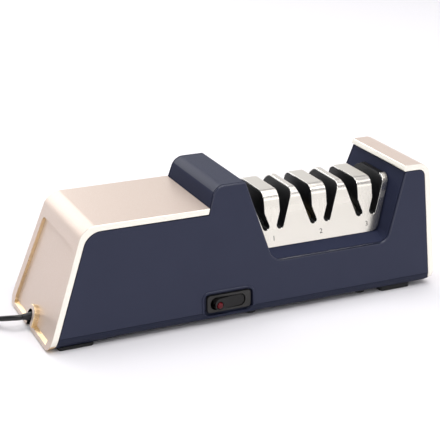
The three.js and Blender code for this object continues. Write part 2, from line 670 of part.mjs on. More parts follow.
function rightEndCap() {
  const outside = sideways(rounded([
    [at(VALLEY_RIGHT, BASE_BOTTOM, -CAP_OVERHANG), BASE_BOTTOM],
    [at(RIGHT_LINE, BASE_BOTTOM), BASE_BOTTOM, SKIRT_RADIUS],
    [at(RIGHT_LINE, TOWER_HEIGHT), TOWER_HEIGHT, TOWER_RADIUS],
    [at(VALLEY_RIGHT, TOWER_HEIGHT, -CAP_OVERHANG), TOWER_HEIGHT, HUMP_EDGE_RADIUS],
  ]), -WIDE, WIDE);
  const inside = sideways(rounded([
    [VALLEY_MIDDLE, BODY_UNDER],
    [at(RIGHT_LINE, BODY_UNDER, CAP_WALL), BODY_UNDER],
    [at(RIGHT_LINE, TOWER_INNER, CAP_WALL), TOWER_INNER, TOWER_RADIUS - CAP_WALL],
    [VALLEY_MIDDLE, TOWER_INNER],
  ]), -WIDE - OVERRUN, WIDE + OVERRUN);
  const under = block(VALLEY_MIDDLE, BODY_RIGHT, -WIDE - OVERRUN, WIDE + OVERRUN, BODY_UNDER, CAP_BOTTOM);
  return cut(common(outside, roundedSection()), inside, under);
}

// Base tray: floor and low walls, with a lower pad under the left end

function baseTray() {
  const left = (z) => at(END_LINE, z, SHELL_IN_COVER);
  const padRight = LEFT_END + CORNER_PAD_LENGTH;
  const pads = rounded([
    [left(CORNER_PAD_BOTTOM), CORNER_PAD_BOTTOM],
    [padRight, CORNER_PAD_BOTTOM],
    [padRight + CORNER_PAD_RUN, BASE_BOTTOM],
    [left(BASE_BOTTOM), BASE_BOTTOM],
  ]);
  const band = sideways(rounded([
    [left(BASE_BOTTOM), BASE_BOTTOM],
    [at(RIGHT_LINE, BASE_BOTTOM), BASE_BOTTOM, SKIRT_RADIUS],
    [at(RIGHT_LINE, BODY_TOP), BODY_TOP],
    [left(BODY_TOP), BODY_TOP],
  ]), -WIDE, WIDE);
  const skirt = CAP_BOTTOM - SEAT_GAP;
  const keep = sideways(rounded([
    [left(BODY_UNDER), BODY_UNDER],
    [at(RIGHT_LINE, BODY_UNDER), BODY_UNDER],
    [at(RIGHT_LINE, skirt), skirt],
    [at(RIGHT_LINE, skirt, SHELL_IN_CAP), skirt],
    [at(RIGHT_LINE, BASE_TOP, SHELL_IN_CAP), BASE_TOP],
    [left(BASE_TOP), BASE_TOP],
  ]), -WIDE, WIDE);
  const floor = BASE_BOTTOM + BASE_FLOOR;
  const hollow = common(sideways(rounded([
    [at(END_LINE, floor, SHELL_IN_COVER + SHELL_WALL), floor],
    [at(RIGHT_LINE, floor, SHELL_IN_CAP + SHELL_WALL), floor],
    [at(RIGHT_LINE, BODY_TOP, SHELL_IN_CAP + SHELL_WALL), BODY_TOP],
    [at(END_LINE, BODY_TOP, SHELL_IN_COVER + SHELL_WALL), BODY_TOP],
  ]), -WIDE, WIDE), betweenSides(SHELL_WALL));
  const vents = Array.from({ length: VENT_COUNT }, (_, index) => [-1, 1].map((way) => {
    const x = MOTOR_MIDDLE + way * (CRADLE_LENGTH / 2 + VENT_PITCH * (index + 1 / 2));
    return block(x - VENT_WIDTH / 2, x + VENT_WIDTH / 2, -VENT_LENGTH / 2, VENT_LENGTH / 2,
      BODY_UNDER, floor + OVERRUN);
  })).flat();
  const posts = SCREW_PLACES.map(([, x, way]) => block(x - SCREW_BOSS / 2, x + SCREW_BOSS / 2,
    screwY(way) - SCREW_BOSS / 2, screwY(way) + SCREW_BOSS / 2, BASE_BOTTOM + BASE_FLOOR / 2, BASE_TOP));
  const sockets = SCREW_PLACES.map(([, x, way]) => join(screwHole(x, way),
    rodZ(SCREW_HEAD_RADIUS + SCREW_HOLE_CLEARANCE, BODY_UNDER, SCREW_FOOT + SCREW_HEAD_HEIGHT + SEAT_GAP,
      x, screwY(way))));
  const body = common(join(common(band, keep), sideways(pads, -WIDE, WIDE)), roundedSection());
  const panel = switchWall(BASE_BOTTOM + BASE_FLOOR / 2, BASE_TOP);
  const inner = common(join(cut(body, hollow), panel, ...posts), keep);
  return cut(inner, switchCut(), drawerCut(), reliefHole(), ...vents, ...sockets);
}

// Feet

function longFoot(x, way, top) {
  const outer = halfWidth(0) - FOOT_INSET;
  const y = way * (outer - FOOT_WIDTH / 2);
  const corner = FOOT_WIDTH * FOOT_CORNER_SHARE;
  return upwards(rounded([
    [x - FOOT_LENGTH / 2, y - FOOT_WIDTH / 2, corner],
    [x + FOOT_LENGTH / 2, y - FOOT_WIDTH / 2, corner],
    [x + FOOT_LENGTH / 2, y + FOOT_WIDTH / 2, corner],
    [x - FOOT_LENGTH / 2, y + FOOT_WIDTH / 2, corner],
  ], FOOT_CORNER_STEPS), 0, top - SEAT_GAP);
}

// Steel head cover and knife guides

const HEAD_FOOT = DECK_HEIGHT + SEAT_GAP;

// Head section in Y and Z: lean faces, bends and flat top, moved in by an inset
function headOutline(inset, foot) {
  const top = HEAD_HEIGHT - inset;
  const lean = Math.hypot(1, HEAD_LEAN_SHARE);
  const bendHigh = HEAD_HEIGHT - HEAD_BEND_RADIUS;
  const leanAngle = Math.atan(HEAD_LEAN_SHARE);
  const bendY = HEAD_HALF_TOP + HEAD_BEND_RADIUS * Math.cos(leanAngle);
  const bendZ = bendHigh + HEAD_BEND_RADIUS * Math.sin(leanAngle);
  const faceY = (z) => bendY + (bendZ - z) * HEAD_LEAN_SHARE - inset * lean;
  return rounded([
    [-faceY(foot), foot],
    [faceY(foot), foot],
    [faceY(top), top, HEAD_BEND_RADIUS - inset],
    [-faceY(top), top, HEAD_BEND_RADIUS - inset],
  ]);
}

// The part of the valley that the head fills, with rounded lower corners
function headSpan(inset, foot, cornerRadius) {
  const top = HEAD_HEIGHT + OVERRUN;
  return sideways(rounded([
    [at(VALLEY_LEFT, foot, -inset), foot, cornerRadius],
    [at(VALLEY_RIGHT, foot, -inset), foot, cornerRadius],
    [at(VALLEY_RIGHT, top, -inset), top],
    [at(VALLEY_LEFT, top, -inset), top],
  ]), -WIDE, WIDE);
}

// A knife slot leans outwards at the sharpening angle and widens above its throat
function slotOutline(middle, way, narrower) {
  const radius = SLOT_END_RADIUS - narrower;
  const low = SLOT_BOTTOM + SLOT_END_RADIUS;
  const slant = Math.hypot(1, SLOT_SLOPE_SHARE);
  const outer = (z) => SLOT_OFFSET + (z - low) * SLOT_SLOPE_SHARE + radius * slant;
  const throat = SLOT_THROAT + narrower;
  const throatZ = low + (throat - SLOT_OFFSET + radius * slant) / SLOT_SLOPE_SHARE;
  const top = HEAD_HEIGHT + OVERRUN;
  const end = (across) => [
    SLOT_OFFSET + (across - SLOT_SLOPE_SHARE) * radius / slant,
    low - (1 + across * SLOT_SLOPE_SHARE) * radius / slant,
    radius * SLOT_ROUND_SHARE,
  ];
  const points = rounded([end(-1), end(1), [outer(top), top], [throat, top], [throat, throatZ]]);
  return points.map((point) => new THREE.Vector2(middle + way * point.x, point.y));
}

const stageMiddle = (stage) => VALLEY_MIDDLE + (stage - (STAGE_COUNT - 1) / 2) * STAGE_PITCH;
const STAGES = Array.from({ length: STAGE_COUNT }, (_, stage) => stage);
const slotsOf = (stage, narrower) =>
  [-1, 1].map((way) => sideways(slotOutline(stageMiddle(stage), way, narrower), -WIDE, WIDE));

function steelHeadCover() {
  const skin = cut(
    lengthways(headOutline(0, HEAD_FOOT), BODY_LEFT, BODY_RIGHT),
    lengthways(headOutline(SHEET, HEAD_FOOT - OVERRUN), BODY_LEFT - OVERRUN, BODY_RIGHT + OVERRUN));
  const slots = STAGES.flatMap((stage) => slotsOf(stage, 0));
  return cut(common(skin, headSpan(HEAD_END_GAP, HEAD_FOOT, HEAD_CORNER_RADIUS)), ...slots);
}

function knifeGuide(stage) {
  const middle = stageMiddle(stage);
  const half = STAGE_PITCH / 2 - GUIDE_SIDE_GAP;
  const last = stage === STAGE_COUNT - 1;
  const first = stage === 0;
  const bodyBlock = lengthways(headOutline(SHEET + SEAT_GAP, HEAD_FOOT),
    first ? BODY_LEFT : middle - half, last ? BODY_RIGHT : middle + half);
  const cupRoom = cupReach() + CUP_SPACE_SIDE_CLEARANCE;
  const cupSpace = rodX(CUP_RADIUS + CUP_SPACE_CLEARANCE, middle - cupRoom, middle + cupRoom, 0, AXIS_HEIGHT);
  const groove = rodX(SPINDLE_RADIUS + SPINDLE_GROOVE_CLEARANCE, BODY_LEFT, BODY_RIGHT, 0, AXIS_HEIGHT);
  return cut(common(bodyBlock, headSpan(HEAD_END_GAP + SEAT_GAP, HEAD_FOOT, HEAD_CORNER_RADIUS)),
    ...slotsOf(stage, GUIDE_LIP), cupSpace, groove);
}

// Abrasive cups, springs and spindle

const cupRise = (radius) => (radius - CUP_HUB_RADIUS) * SLOT_SLOPE_SHARE;
const cupReach = () => CUP_HUB_FACE + cupRise(CUP_RADIUS);
const cupFront = CUP_HUB_FACE + CUP_BOSS;
const cupBack = CUP_HUB_FACE - CUP_THICKNESS;
const springSeat = cupBack + CUP_SPRING_SEAT;
const SPRING_SEAT_RADIUS = SPRING_RADIUS + SPRING_WIRE_RADIUS + SEAT_GAP;
const CUP_BORE = SPINDLE_RADIUS + CUP_BORE_CLEARANCE;

function abrasiveCup(stage, way) {
  const profile = [
    [CUP_BORE, springSeat], [SPRING_SEAT_RADIUS, springSeat], [SPRING_SEAT_RADIUS, cupBack],
    [CUP_HUB_RADIUS, cupBack], [CUP_RADIUS, cupBack + cupRise(CUP_RADIUS)], [CUP_RADIUS, cupReach()],
    [CUP_HUB_RADIUS, CUP_HUB_FACE], [CUP_HUB_RADIUS, cupFront], [CUP_BORE, cupFront],
  ].map(([radius, along]) => [radius, way * along]);
  const closed = [...profile, profile[0]];
  return turnedX(way > 0 ? closed : closed.reverse(), stageMiddle(stage), 0, AXIS_HEIGHT);
}

class Helix extends THREE.Curve {
  constructor(radius, low, high, turns) {
    super();
    Object.assign(this, { radius, low, high, turns });
  }

  getPoint(share, target = new THREE.Vector3()) {
    const angle = share * this.turns * 2 * Math.PI;
    const along = THREE.MathUtils.lerp(this.low, this.high, share);
    return target.set(along, this.radius * Math.cos(angle), this.radius * Math.sin(angle));
  }
}

// The least distance between turns of a wound tube, less its thickness
function printLeastGap(name, points, stepsPerTurn, radius) {
  let least = Infinity;
  points.forEach((point, i) => {
    points.slice(i + Math.round(stepsPerTurn / 2)).forEach((other) => {
      least = Math.min(least, point.distanceTo(other) - 2 * radius);
    });
  });
  console.log(`least gap in the ${name}: ${least.toFixed(2)} mm`);
}

// A closed tube: rings of points about a line, with a flat cap at each end
function tube(points, radius, sides) {
  const positions = [];
  const index = [];
  const count = points.length;
  const tangents = points.map((_, i) => new THREE.Vector3()
    .subVectors(points[Math.min(i + 1, count - 1)], points[Math.max(i - 1, 0)]).normalize());
  let normal = new THREE.Vector3(0, 0, 1).projectOnPlane(tangents[0]);
  if (normal.length() < MERGE_TOLERANCE) {
    normal = new THREE.Vector3(0, 1, 0);
  }
  points.forEach((point, i) => {
    normal = normal.projectOnPlane(tangents[i]).normalize();
    const side = new THREE.Vector3().crossVectors(tangents[i], normal);
    for (let k = 0; k < sides; k += 1) {
      const angle = 2 * Math.PI * k / sides;
      const ring = point.clone().addScaledVector(normal, radius * Math.cos(angle))
        .addScaledVector(side, radius * Math.sin(angle));
      positions.push(...ring.toArray());
    }
  });
  for (let i = 0; i < count - 1; i += 1) {
    for (let k = 0; k < sides; k += 1) {
      const next = (k + 1) % sides;
      const low = i * sides;
      const high = low + sides;
      index.push(low + k, low + next, high + next, low + k, high + next, high + k);
    }
  }
  for (let k = 1; k < sides - 1; k += 1) {
    const last = (count - 1) * sides;
    index.push(0, k + 1, k, last, last + k, last + k + 1);
  }
  const geometry = new THREE.BufferGeometry();
  geometry.setAttribute('position', new THREE.Float32BufferAttribute(positions, 3));
  geometry.setIndex(index);
  return solid(geometry);
}

function cupSpring(stage) {
  const end = springSeat - SEAT_GAP - SPRING_WIRE_RADIUS;
  const helix = new Helix(SPRING_RADIUS - SPRING_WIRE_RADIUS, -end, end, SPRING_TURNS);
  const steps = Math.round(SPRING_TURNS * SPRING_STEPS);
  const points = Array.from({ length: steps + 1 }, (_, i) => helix.getPoint(i / steps)
    .add(new THREE.Vector3(stageMiddle(stage), 0, AXIS_HEIGHT)));
  if (stage === 0) {
    printLeastGap('spring', points, SPRING_STEPS, SPRING_WIRE_RADIUS);
  }
  return tube(points, SPRING_WIRE_RADIUS, SPRING_SIDES);
}

function spindle() {
  const pins = STAGES.flatMap((stage) => [-1, 1].map((way) => {
    const x = stageMiddle(stage) + way * (cupFront + SEAT_GAP + CROSS_PIN_RADIUS);
    return rodZ(CROSS_PIN_RADIUS, AXIS_HEIGHT - CROSS_PIN_LENGTH / 2, AXIS_HEIGHT + CROSS_PIN_LENGTH / 2,
      x, 0, PIN_SIDES);
  }));
  return join(rodX(SPINDLE_RADIUS, SPINDLE_LEFT, SPINDLE_RIGHT, 0, AXIS_HEIGHT, SMALL_SIDES), ...pins);
}

// Bearings and brackets

const ringX = (outer, inner, xLow, xHigh) => cut(
  rodX(outer, xLow, xHigh, 0, AXIS_HEIGHT),
  rodX(inner, xLow - OVERRUN, xHigh + OVERRUN, 0, AXIS_HEIGHT));

const bearing = (x) => ringX(BEARING_RADIUS, SPINDLE_RADIUS + BEARING_BORE_CLEARANCE,
  x - BEARING_WIDTH / 2, x + BEARING_WIDTH / 2);

function bearingBracket(x, way) {
  const low = BASE_BOTTOM + BASE_FLOOR + SEAT_GAP;
  const head = BEARING_RADIUS + BRACKET_RIM;
  const wall = lengthways(rounded([
    [-BRACKET_WIDTH / 2, low], [BRACKET_WIDTH / 2, low],
    [head, AXIS_HEIGHT], [head, AXIS_HEIGHT + head, head * BRACKET_ROUND_SHARE],
    [-head, AXIS_HEIGHT + head, head * BRACKET_ROUND_SHARE], [-head, AXIS_HEIGHT],
  ]), x - BEARING_WIDTH / 2, x + BEARING_WIDTH / 2);
  const flange = block(Math.min(x, x + way * BRACKET_FLANGE), Math.max(x, x + way * BRACKET_FLANGE),
    -BRACKET_WIDTH / 2, BRACKET_WIDTH / 2, low, low + BRACKET_FLANGE_HEIGHT);
  const seat = rodX(BEARING_RADIUS + SEAT_GAP, x - BEARING_WIDTH, x + BEARING_WIDTH, 0, AXIS_HEIGHT);
  return cut(join(wall, flange), seat);
}

// Motor

const MOTOR_RIGHT = MOTOR_LEFT + MOTOR_LENGTH;
const BELL_BORE = MOTOR_SHAFT_RADIUS + BELL_BORE_CLEARANCE;

function motorCan() {
  return cut(
    rodX(MOTOR_RADIUS, MOTOR_LEFT, MOTOR_RIGHT, 0, AXIS_HEIGHT),
    rodX(MOTOR_RADIUS - MOTOR_WALL, MOTOR_LEFT + MOTOR_WALL, MOTOR_RIGHT + OVERRUN, 0, AXIS_HEIGHT),
    rodX(BELL_BORE, MOTOR_LEFT - OVERRUN, MOTOR_LEFT + OVERRUN, 0, AXIS_HEIGHT));
}

function motorEndBell() {
  const low = MOTOR_RIGHT + SEAT_GAP;
  return cut(
    join(rodX(MOTOR_RADIUS, low, low + END_BELL_THICKNESS, 0, AXIS_HEIGHT),
      rodX(MOTOR_RADIUS - MOTOR_WALL - SEAT_GAP, MOTOR_RIGHT - END_BELL_THICKNESS / 2, low + SEAT_GAP, 0,
        AXIS_HEIGHT)),
    rodX(BELL_BORE, MOTOR_LEFT, MOTOR_RIGHT + OVERRUN * 2, 0, AXIS_HEIGHT));
}

function motorArmature() {
  const core = rodX(ARMATURE_RADIUS,
    MOTOR_LEFT + ARMATURE_END_CLEARANCE, MOTOR_RIGHT - ARMATURE_END_CLEARANCE, 0, AXIS_HEIGHT);
  const shaft = rodX(MOTOR_SHAFT_RADIUS,
    MOTOR_LEFT - MOTOR_SHAFT_STUB, SPINDLE_LEFT - SEAT_GAP, 0, AXIS_HEIGHT, SMALL_SIDES);
  const slots = Array.from({ length: ARMATURE_SLOTS }, (_, index) => {
    const angle = 2 * Math.PI * index / ARMATURE_SLOTS;
    const cutter = new THREE.BoxGeometry(MOTOR_LENGTH, ARMATURE_SLOT_WIDTH, ARMATURE_SLOT_DEPTH + OVERRUN)
      .translate(0, 0, ARMATURE_RADIUS + (OVERRUN - ARMATURE_SLOT_DEPTH) / 2)
      .rotateX(angle).translate(MOTOR_LEFT + MOTOR_LENGTH / 2, 0, AXIS_HEIGHT);
    return solid(cutter);
  });
  return join(cut(core, ...slots), shaft);
}

function coolingFan() {
  const right = MOTOR_LEFT - FAN_GAP;
  const left = right - FAN_PLATE - FAN_BLADE_HEIGHT;
  const bladeRun = FAN_BLADE_HEIGHT + FAN_PLATE / 2;
  const bladeMiddle = (FAN_RADIUS + FAN_HUB_RADIUS) / 2 - FAN_BLADE_INSET;
  const blades = Array.from({ length: FAN_BLADES }, (_, index) => solid(
    new THREE.BoxGeometry(bladeRun, FAN_BLADE_THICKNESS, FAN_RADIUS - FAN_HUB_RADIUS)
      .translate(left + bladeRun / 2, 0, bladeMiddle)
      .rotateX(2 * Math.PI * index / FAN_BLADES).translate(0, 0, AXIS_HEIGHT)));
  const plate = rodX(FAN_RADIUS, right - FAN_PLATE, right, 0, AXIS_HEIGHT);
  const hub = rodX(FAN_HUB_RADIUS, left, right, 0, AXIS_HEIGHT);
  return cut(join(plate, hub, ...blades),
    rodX(MOTOR_SHAFT_RADIUS + SEAT_GAP, left - OVERRUN, right + OVERRUN, 0, AXIS_HEIGHT, SMALL_SIDES));
}

function shaftCoupling() {
  const middle = SPINDLE_LEFT - SEAT_GAP / 2;
  const left = middle - COUPLING_LENGTH / 2;
  const right = middle + COUPLING_LENGTH / 2;
  return cut(
    rodX(COUPLING_RADIUS, left, right, 0, AXIS_HEIGHT),
    rodX(MOTOR_SHAFT_RADIUS + SEAT_GAP, left - OVERRUN, middle, 0, AXIS_HEIGHT, SMALL_SIDES),
    rodX(SPINDLE_RADIUS + SEAT_GAP, middle - SEAT_GAP, right + OVERRUN, 0, AXIS_HEIGHT, SMALL_SIDES));
}

const MOTOR_MIDDLE = MOTOR_LEFT + MOTOR_LENGTH / 2;
const CRADLE_TOP = AXIS_HEIGHT - MOTOR_RADIUS * CRADLE_HEIGHT_SHARE;

function motorCradle() {
  return cut(
    block(MOTOR_MIDDLE - CRADLE_LENGTH / 2, MOTOR_MIDDLE + CRADLE_LENGTH / 2,
      -CRADLE_WIDTH / 2 - STRAP_EAR, CRADLE_WIDTH / 2 + STRAP_EAR,
      BASE_BOTTOM + BASE_FLOOR + SEAT_GAP, CRADLE_TOP),
    rodX(MOTOR_RADIUS + SEAT_GAP, MOTOR_LEFT, MOTOR_RIGHT, 0, AXIS_HEIGHT));
}

function motorStrap() {
  const inner = MOTOR_RADIUS + SEAT_GAP;
  const outer = inner + STRAP_THICKNESS;
  const low = CRADLE_TOP + SEAT_GAP;
  const xLow = MOTOR_MIDDLE - STRAP_WIDTH / 2;
  const xHigh = MOTOR_MIDDLE + STRAP_WIDTH / 2;
  const band = rodX(outer, xLow, xHigh, 0, AXIS_HEIGHT);
  const legs = block(xLow, xHigh, -outer, outer, low, AXIS_HEIGHT);
  const ears = block(xLow, xHigh, -CRADLE_WIDTH / 2 - STRAP_EAR, CRADLE_WIDTH / 2 + STRAP_EAR,
    low, low + STRAP_THICKNESS);
  const under = block(xLow - OVERRUN, xHigh + OVERRUN, -WIDE, WIDE, BODY_UNDER, low);
  const hollow = join(
    rodX(inner, xLow - OVERRUN, xHigh + OVERRUN, 0, AXIS_HEIGHT),
    block(xLow - OVERRUN, xHigh + OVERRUN, -inner, inner, BODY_UNDER, AXIS_HEIGHT));
  return cut(join(band, legs, ears), hollow, under);
}

// Filings drawer

function filingsDrawer() {
  const left = VALLEY_MIDDLE - DRAWER_LENGTH / 2;
  const right = VALLEY_MIDDLE + DRAWER_LENGTH / 2;
  const outside = common(
    block(left, right, DRAWER_FRONT, WIDE, DRAWER_BOTTOM, DRAWER_TOP), roundedSection());
  const hollow = common(
    block(left + DRAWER_WALL, right - DRAWER_WALL, DRAWER_FRONT + DRAWER_WALL, WIDE,
      DRAWER_BOTTOM + DRAWER_WALL, DRAWER_TOP + OVERRUN),
    betweenSides(SHELL_WALL));
  const gripMiddle = (DRAWER_BOTTOM + DRAWER_TOP) / 2;
  const grip = cut(
    block(VALLEY_MIDDLE - DRAWER_GRIP_LENGTH / 2, VALLEY_MIDDLE + DRAWER_GRIP_LENGTH / 2, 0, WIDE,
      gripMiddle - DRAWER_GRIP_HEIGHT / 2, gripMiddle + DRAWER_GRIP_HEIGHT / 2),
    betweenSides(DRAWER_GRIP_DEPTH));
  return cut(outside, hollow, grip);
}

// Switch

const BEZEL_FRONT = BEZEL_BACK - SEAT_GAP - BEZEL_DEPTH;
const ROCKER_PIVOT_Y = BEZEL_FRONT + ROCKER_PIVOT_DEPTH;
const ROCKER_SLOPE = Math.tan(ROCKER_TILT);

function switchHousing() {
  const back = BEZEL_BACK - SEAT_GAP;
  const bezel = roundedBlock(
    SWITCH_X, SWITCH_Z, BEZEL_LENGTH, BEZEL_HEIGHT, BEZEL_RADIUS, back - BEZEL_DEPTH, back);
  const body = block(SWITCH_X - SWITCH_BODY_LENGTH / 2, SWITCH_X + SWITCH_BODY_LENGTH / 2,
    back - BEZEL_DEPTH / 2, back + SWITCH_BODY_DEPTH,
    SWITCH_Z - SWITCH_BODY_HEIGHT / 2, SWITCH_Z + SWITCH_BODY_HEIGHT / 2);
  const wellHeight = ROCKER_HEIGHT + 2 * SEAT_GAP;
  const well = roundedBlock(SWITCH_X, SWITCH_Z, 2 * (ROCKER_RADIUS + SEAT_GAP), wellHeight,
    wellHeight * ROCKER_ROUND_SHARE, back - BEZEL_DEPTH - OVERRUN, ROCKER_PIVOT_Y + WELL_DEPTH);
  return cut(join(bezel, body), well);
}

// Two flat faces of the rocker meet in a shallow V over the pivot, and its ends are round about it
function rockerFace(offset) {
  return BEZEL_FRONT - ROCKER_PROUD - Math.abs(offset) * ROCKER_SLOPE;
}

function rockerSolid() {
  const half = ROCKER_RADIUS;
  const back = ROCKER_PIVOT_Y + ROCKER_DEPTH;
  const plan = upwards(rounded([
    [SWITCH_X - half, rockerFace(half)], [SWITCH_X - half * ROCKER_BACK_SHARE, back],
    [SWITCH_X + half * ROCKER_BACK_SHARE, back], [SWITCH_X + half, rockerFace(half)],
    [SWITCH_X, rockerFace(0)],
  ]), SWITCH_Z - ROCKER_HEIGHT, SWITCH_Z + ROCKER_HEIGHT);
  const ends = rodZ(ROCKER_RADIUS, SWITCH_Z - ROCKER_HEIGHT, SWITCH_Z + ROCKER_HEIGHT,
    SWITCH_X, ROCKER_PIVOT_Y, 2 * ROUND_SIDES);
  const outline = roundedBlock(SWITCH_X, SWITCH_Z, 2 * (half - ROCKER_END_INSET), ROCKER_HEIGHT,
    ROCKER_HEIGHT * ROCKER_ROUND_SHARE, -WIDE, WIDE);
  return common(plan, ends, outline);
}

// Both rocker pieces are tilted about the pivot, with the right end pressed in
function tilted(body) {
  const turn = THREE.MathUtils.radToDeg(ROCKER_TILT);
  return body.translate([-SWITCH_X, -ROCKER_PIVOT_Y, 0])
    .rotate([0, 0, turn])
    .translate([SWITCH_X, ROCKER_PIVOT_Y, 0]);
}

const LENS_FACE = rockerFace(LENS_OFFSET);
const lensSeat = () => rodY(LENS_RADIUS + SEAT_GAP, -WIDE, LENS_FACE + LENS_HEIGHT + SEAT_GAP,
  SWITCH_X - LENS_OFFSET, SWITCH_Z - LENS_DROP, SMALL_SIDES);
const rockerLens = () => rodY(LENS_RADIUS, LENS_FACE - LENS_PROUD, LENS_FACE + LENS_HEIGHT,
  SWITCH_X - LENS_OFFSET, SWITCH_Z - LENS_DROP, SMALL_SIDES);

// Strain relief, clamp and board

function strainRelief() {
  return turnedX([
    [0, RELIEF_TIP], [RELIEF_TIP_RADIUS, RELIEF_TIP], [RELIEF_RADIUS, RELIEF_SHOULDER],
    [RELIEF_RADIUS, RELIEF_INNER], [0, RELIEF_INNER],
  ], 0, 0, CORD_HEIGHT, SMALL_SIDES);
}

function cordClamp() {
  const low = BASE_BOTTOM + BASE_FLOOR + SEAT_GAP;
  const left = RELIEF_INNER + SEAT_GAP;
  return block(left, left + CLAMP_LENGTH, -CLAMP_WIDTH / 2, CLAMP_WIDTH / 2, low, low + CLAMP_HEIGHT);
}

function rectifierBoard() {
  const low = BASE_BOTTOM + BASE_FLOOR + SEAT_GAP;
  const top = low + BOARD_STANDOFF + BOARD_THICKNESS;
  const right = BOARD_LEFT + BOARD_LENGTH;
  const back = BOARD_MIDDLE_Y + BOARD_WIDTH / 2;
  const front = BOARD_MIDDLE_Y - BOARD_WIDTH / 2;
  const middle = (BOARD_LEFT + right) / 2;
  const pillars = [BOARD_LEFT + 2 * BOARD_STANDOFF_RADIUS, right - 2 * BOARD_STANDOFF_RADIUS].map((x) =>
    rodZ(BOARD_STANDOFF_RADIUS, low, low + BOARD_STANDOFF + BOARD_THICKNESS / 2, x, BOARD_MIDDLE_Y));
  const capacitors = [-1, 1].map((way) =>
    rodZ(CAPACITOR_RADIUS, top - BOARD_THICKNESS / 2, top + CAPACITOR_HEIGHT, middle,
      BOARD_MIDDLE_Y + way * (CAPACITOR_RADIUS + SEAT_GAP)));
  return join(block(BOARD_LEFT, right, front, back, top - BOARD_THICKNESS, top), ...pillars, ...capacitors);
}

// Screws

function baseScrew(x, way) {
  const y = screwY(way);
  return join(
    rodZ(SCREW_HEAD_RADIUS, SCREW_FOOT, SCREW_FOOT + SCREW_HEAD_HEIGHT, x, y),
    rodZ(SCREW_RADIUS, SCREW_FOOT, SCREW_FOOT + SCREW_HEAD_HEIGHT + SCREW_LENGTH, x, y));
}

// Cord, coil and plug

function cordStretch(points) {
  const curve = new THREE.CatmullRomCurve3(points.map((point) => new THREE.Vector3(...point)));
  const middle = new THREE.Vector2();
  const section = Array.from({ length: CORD_SIDES }, (_, side) =>
    new THREE.Vector2(CORD_DIAMETER / 2, 0).rotateAround(middle, 2 * Math.PI * side / CORD_SIDES));
  const steps = Math.round(curve.getLength() / CORD_STEP);
  const options = { steps, extrudePath: curve, bevelEnabled: false };
  return solid(new THREE.ExtrudeGeometry(shapeOf(section), options));
}

// The coil winds inwards on the floor, climbs a layer, and winds outwards again
function coilPoints() {
  const lowTurns = COIL_TURNS - COIL_CLIMB_TURNS;
  const turnBack = COIL_TURNS - COIL_CLIMB_TURNS / 2;
  const endTurn = (COIL_END_ANGLE - COIL_START_ANGLE) / (2 * Math.PI);
  const total = 2 * COIL_TURNS - 1 + endTurn;
  const steps = Math.round(total * COIL_STEPS);
  return Array.from({ length: steps + 1 }, (_, i) => {
    const turn = total * i / steps;
    const inwards = Math.min(turn, turnBack);
    const outwards = Math.max(0, turn - turnBack);
    const radius = COIL_OUTER_RADIUS - COIL_PITCH * (inwards - outwards);
    const angle = COIL_START_ANGLE + turn * 2 * Math.PI;
    return new THREE.Vector3(
      COIL_X + radius * Math.cos(angle),
      COIL_Y + radius * Math.sin(angle),
      CORD_DIAMETER / 2 + COIL_PITCH * THREE.MathUtils.smoothstep(turn, lowTurns, COIL_TURNS));
  });
}

// Each end of the coil runs straight for one diameter
function straightEnds(points) {
  const first = points[0].clone().sub(points[1]).setLength(CORD_DIAMETER).add(points[0]);
  const last = points.at(-1).clone().sub(points.at(-2)).setLength(CORD_DIAMETER).add(points.at(-1));
  return [first, ...points, last];
}

function cordCoil() {
  const points = coilPoints();
  printLeastGap('coil', points, COIL_STEPS, CORD_DIAMETER / 2);
  return tube(straightEnds(points), CORD_DIAMETER / 2, COIL_SIDES);
}

const PLUG_HEIGHT_MIDDLE = PLUG_HEIGHT / 2;

function plugBody() {
  const start = PLUG_RELIEF_START;
  const shoulder = start - PLUG_RELIEF_LENGTH;
  const nose = shoulder - PLUG_BODY_LENGTH;
  const half = PLUG_WIDTH / 2;
  const noseHalf = PLUG_NOSE_WIDTH / 2;
  const plan = upwards(rounded([
    [PLUG_X - half, nose, PLUG_CORNER_RADIUS / 2], [PLUG_X + half, nose, PLUG_CORNER_RADIUS / 2],
    [PLUG_X + noseHalf, shoulder, PLUG_CORNER_RADIUS], [PLUG_X - noseHalf, shoulder, PLUG_CORNER_RADIUS],
  ]), 0, PLUG_HEIGHT);
  const taper = new THREE.CylinderGeometry(PLUG_RELIEF_TIP_RADIUS, PLUG_RELIEF_RADIUS,
    PLUG_RELIEF_LENGTH + PLUG_CORNER_RADIUS, SMALL_SIDES);
  const relief = solid(taper.translate(PLUG_X, start - (PLUG_RELIEF_LENGTH + PLUG_CORNER_RADIUS) / 2,
    PLUG_HEIGHT_MIDDLE));
  return join(plan, relief);
}

function plugBlade(way) {
  const nose = PLUG_RELIEF_START - PLUG_RELIEF_LENGTH - PLUG_BODY_LENGTH;
  const x = PLUG_X + way * BLADE_SPACING / 2;
  return block(x - BLADE_THICKNESS / 2, x + BLADE_THICKNESS / 2,
    nose - SEAT_GAP - BLADE_LENGTH, nose - SEAT_GAP,
    PLUG_HEIGHT_MIDDLE - BLADE_WIDTH / 2, PLUG_HEIGHT_MIDDLE + BLADE_WIDTH / 2);
}

// The whole part

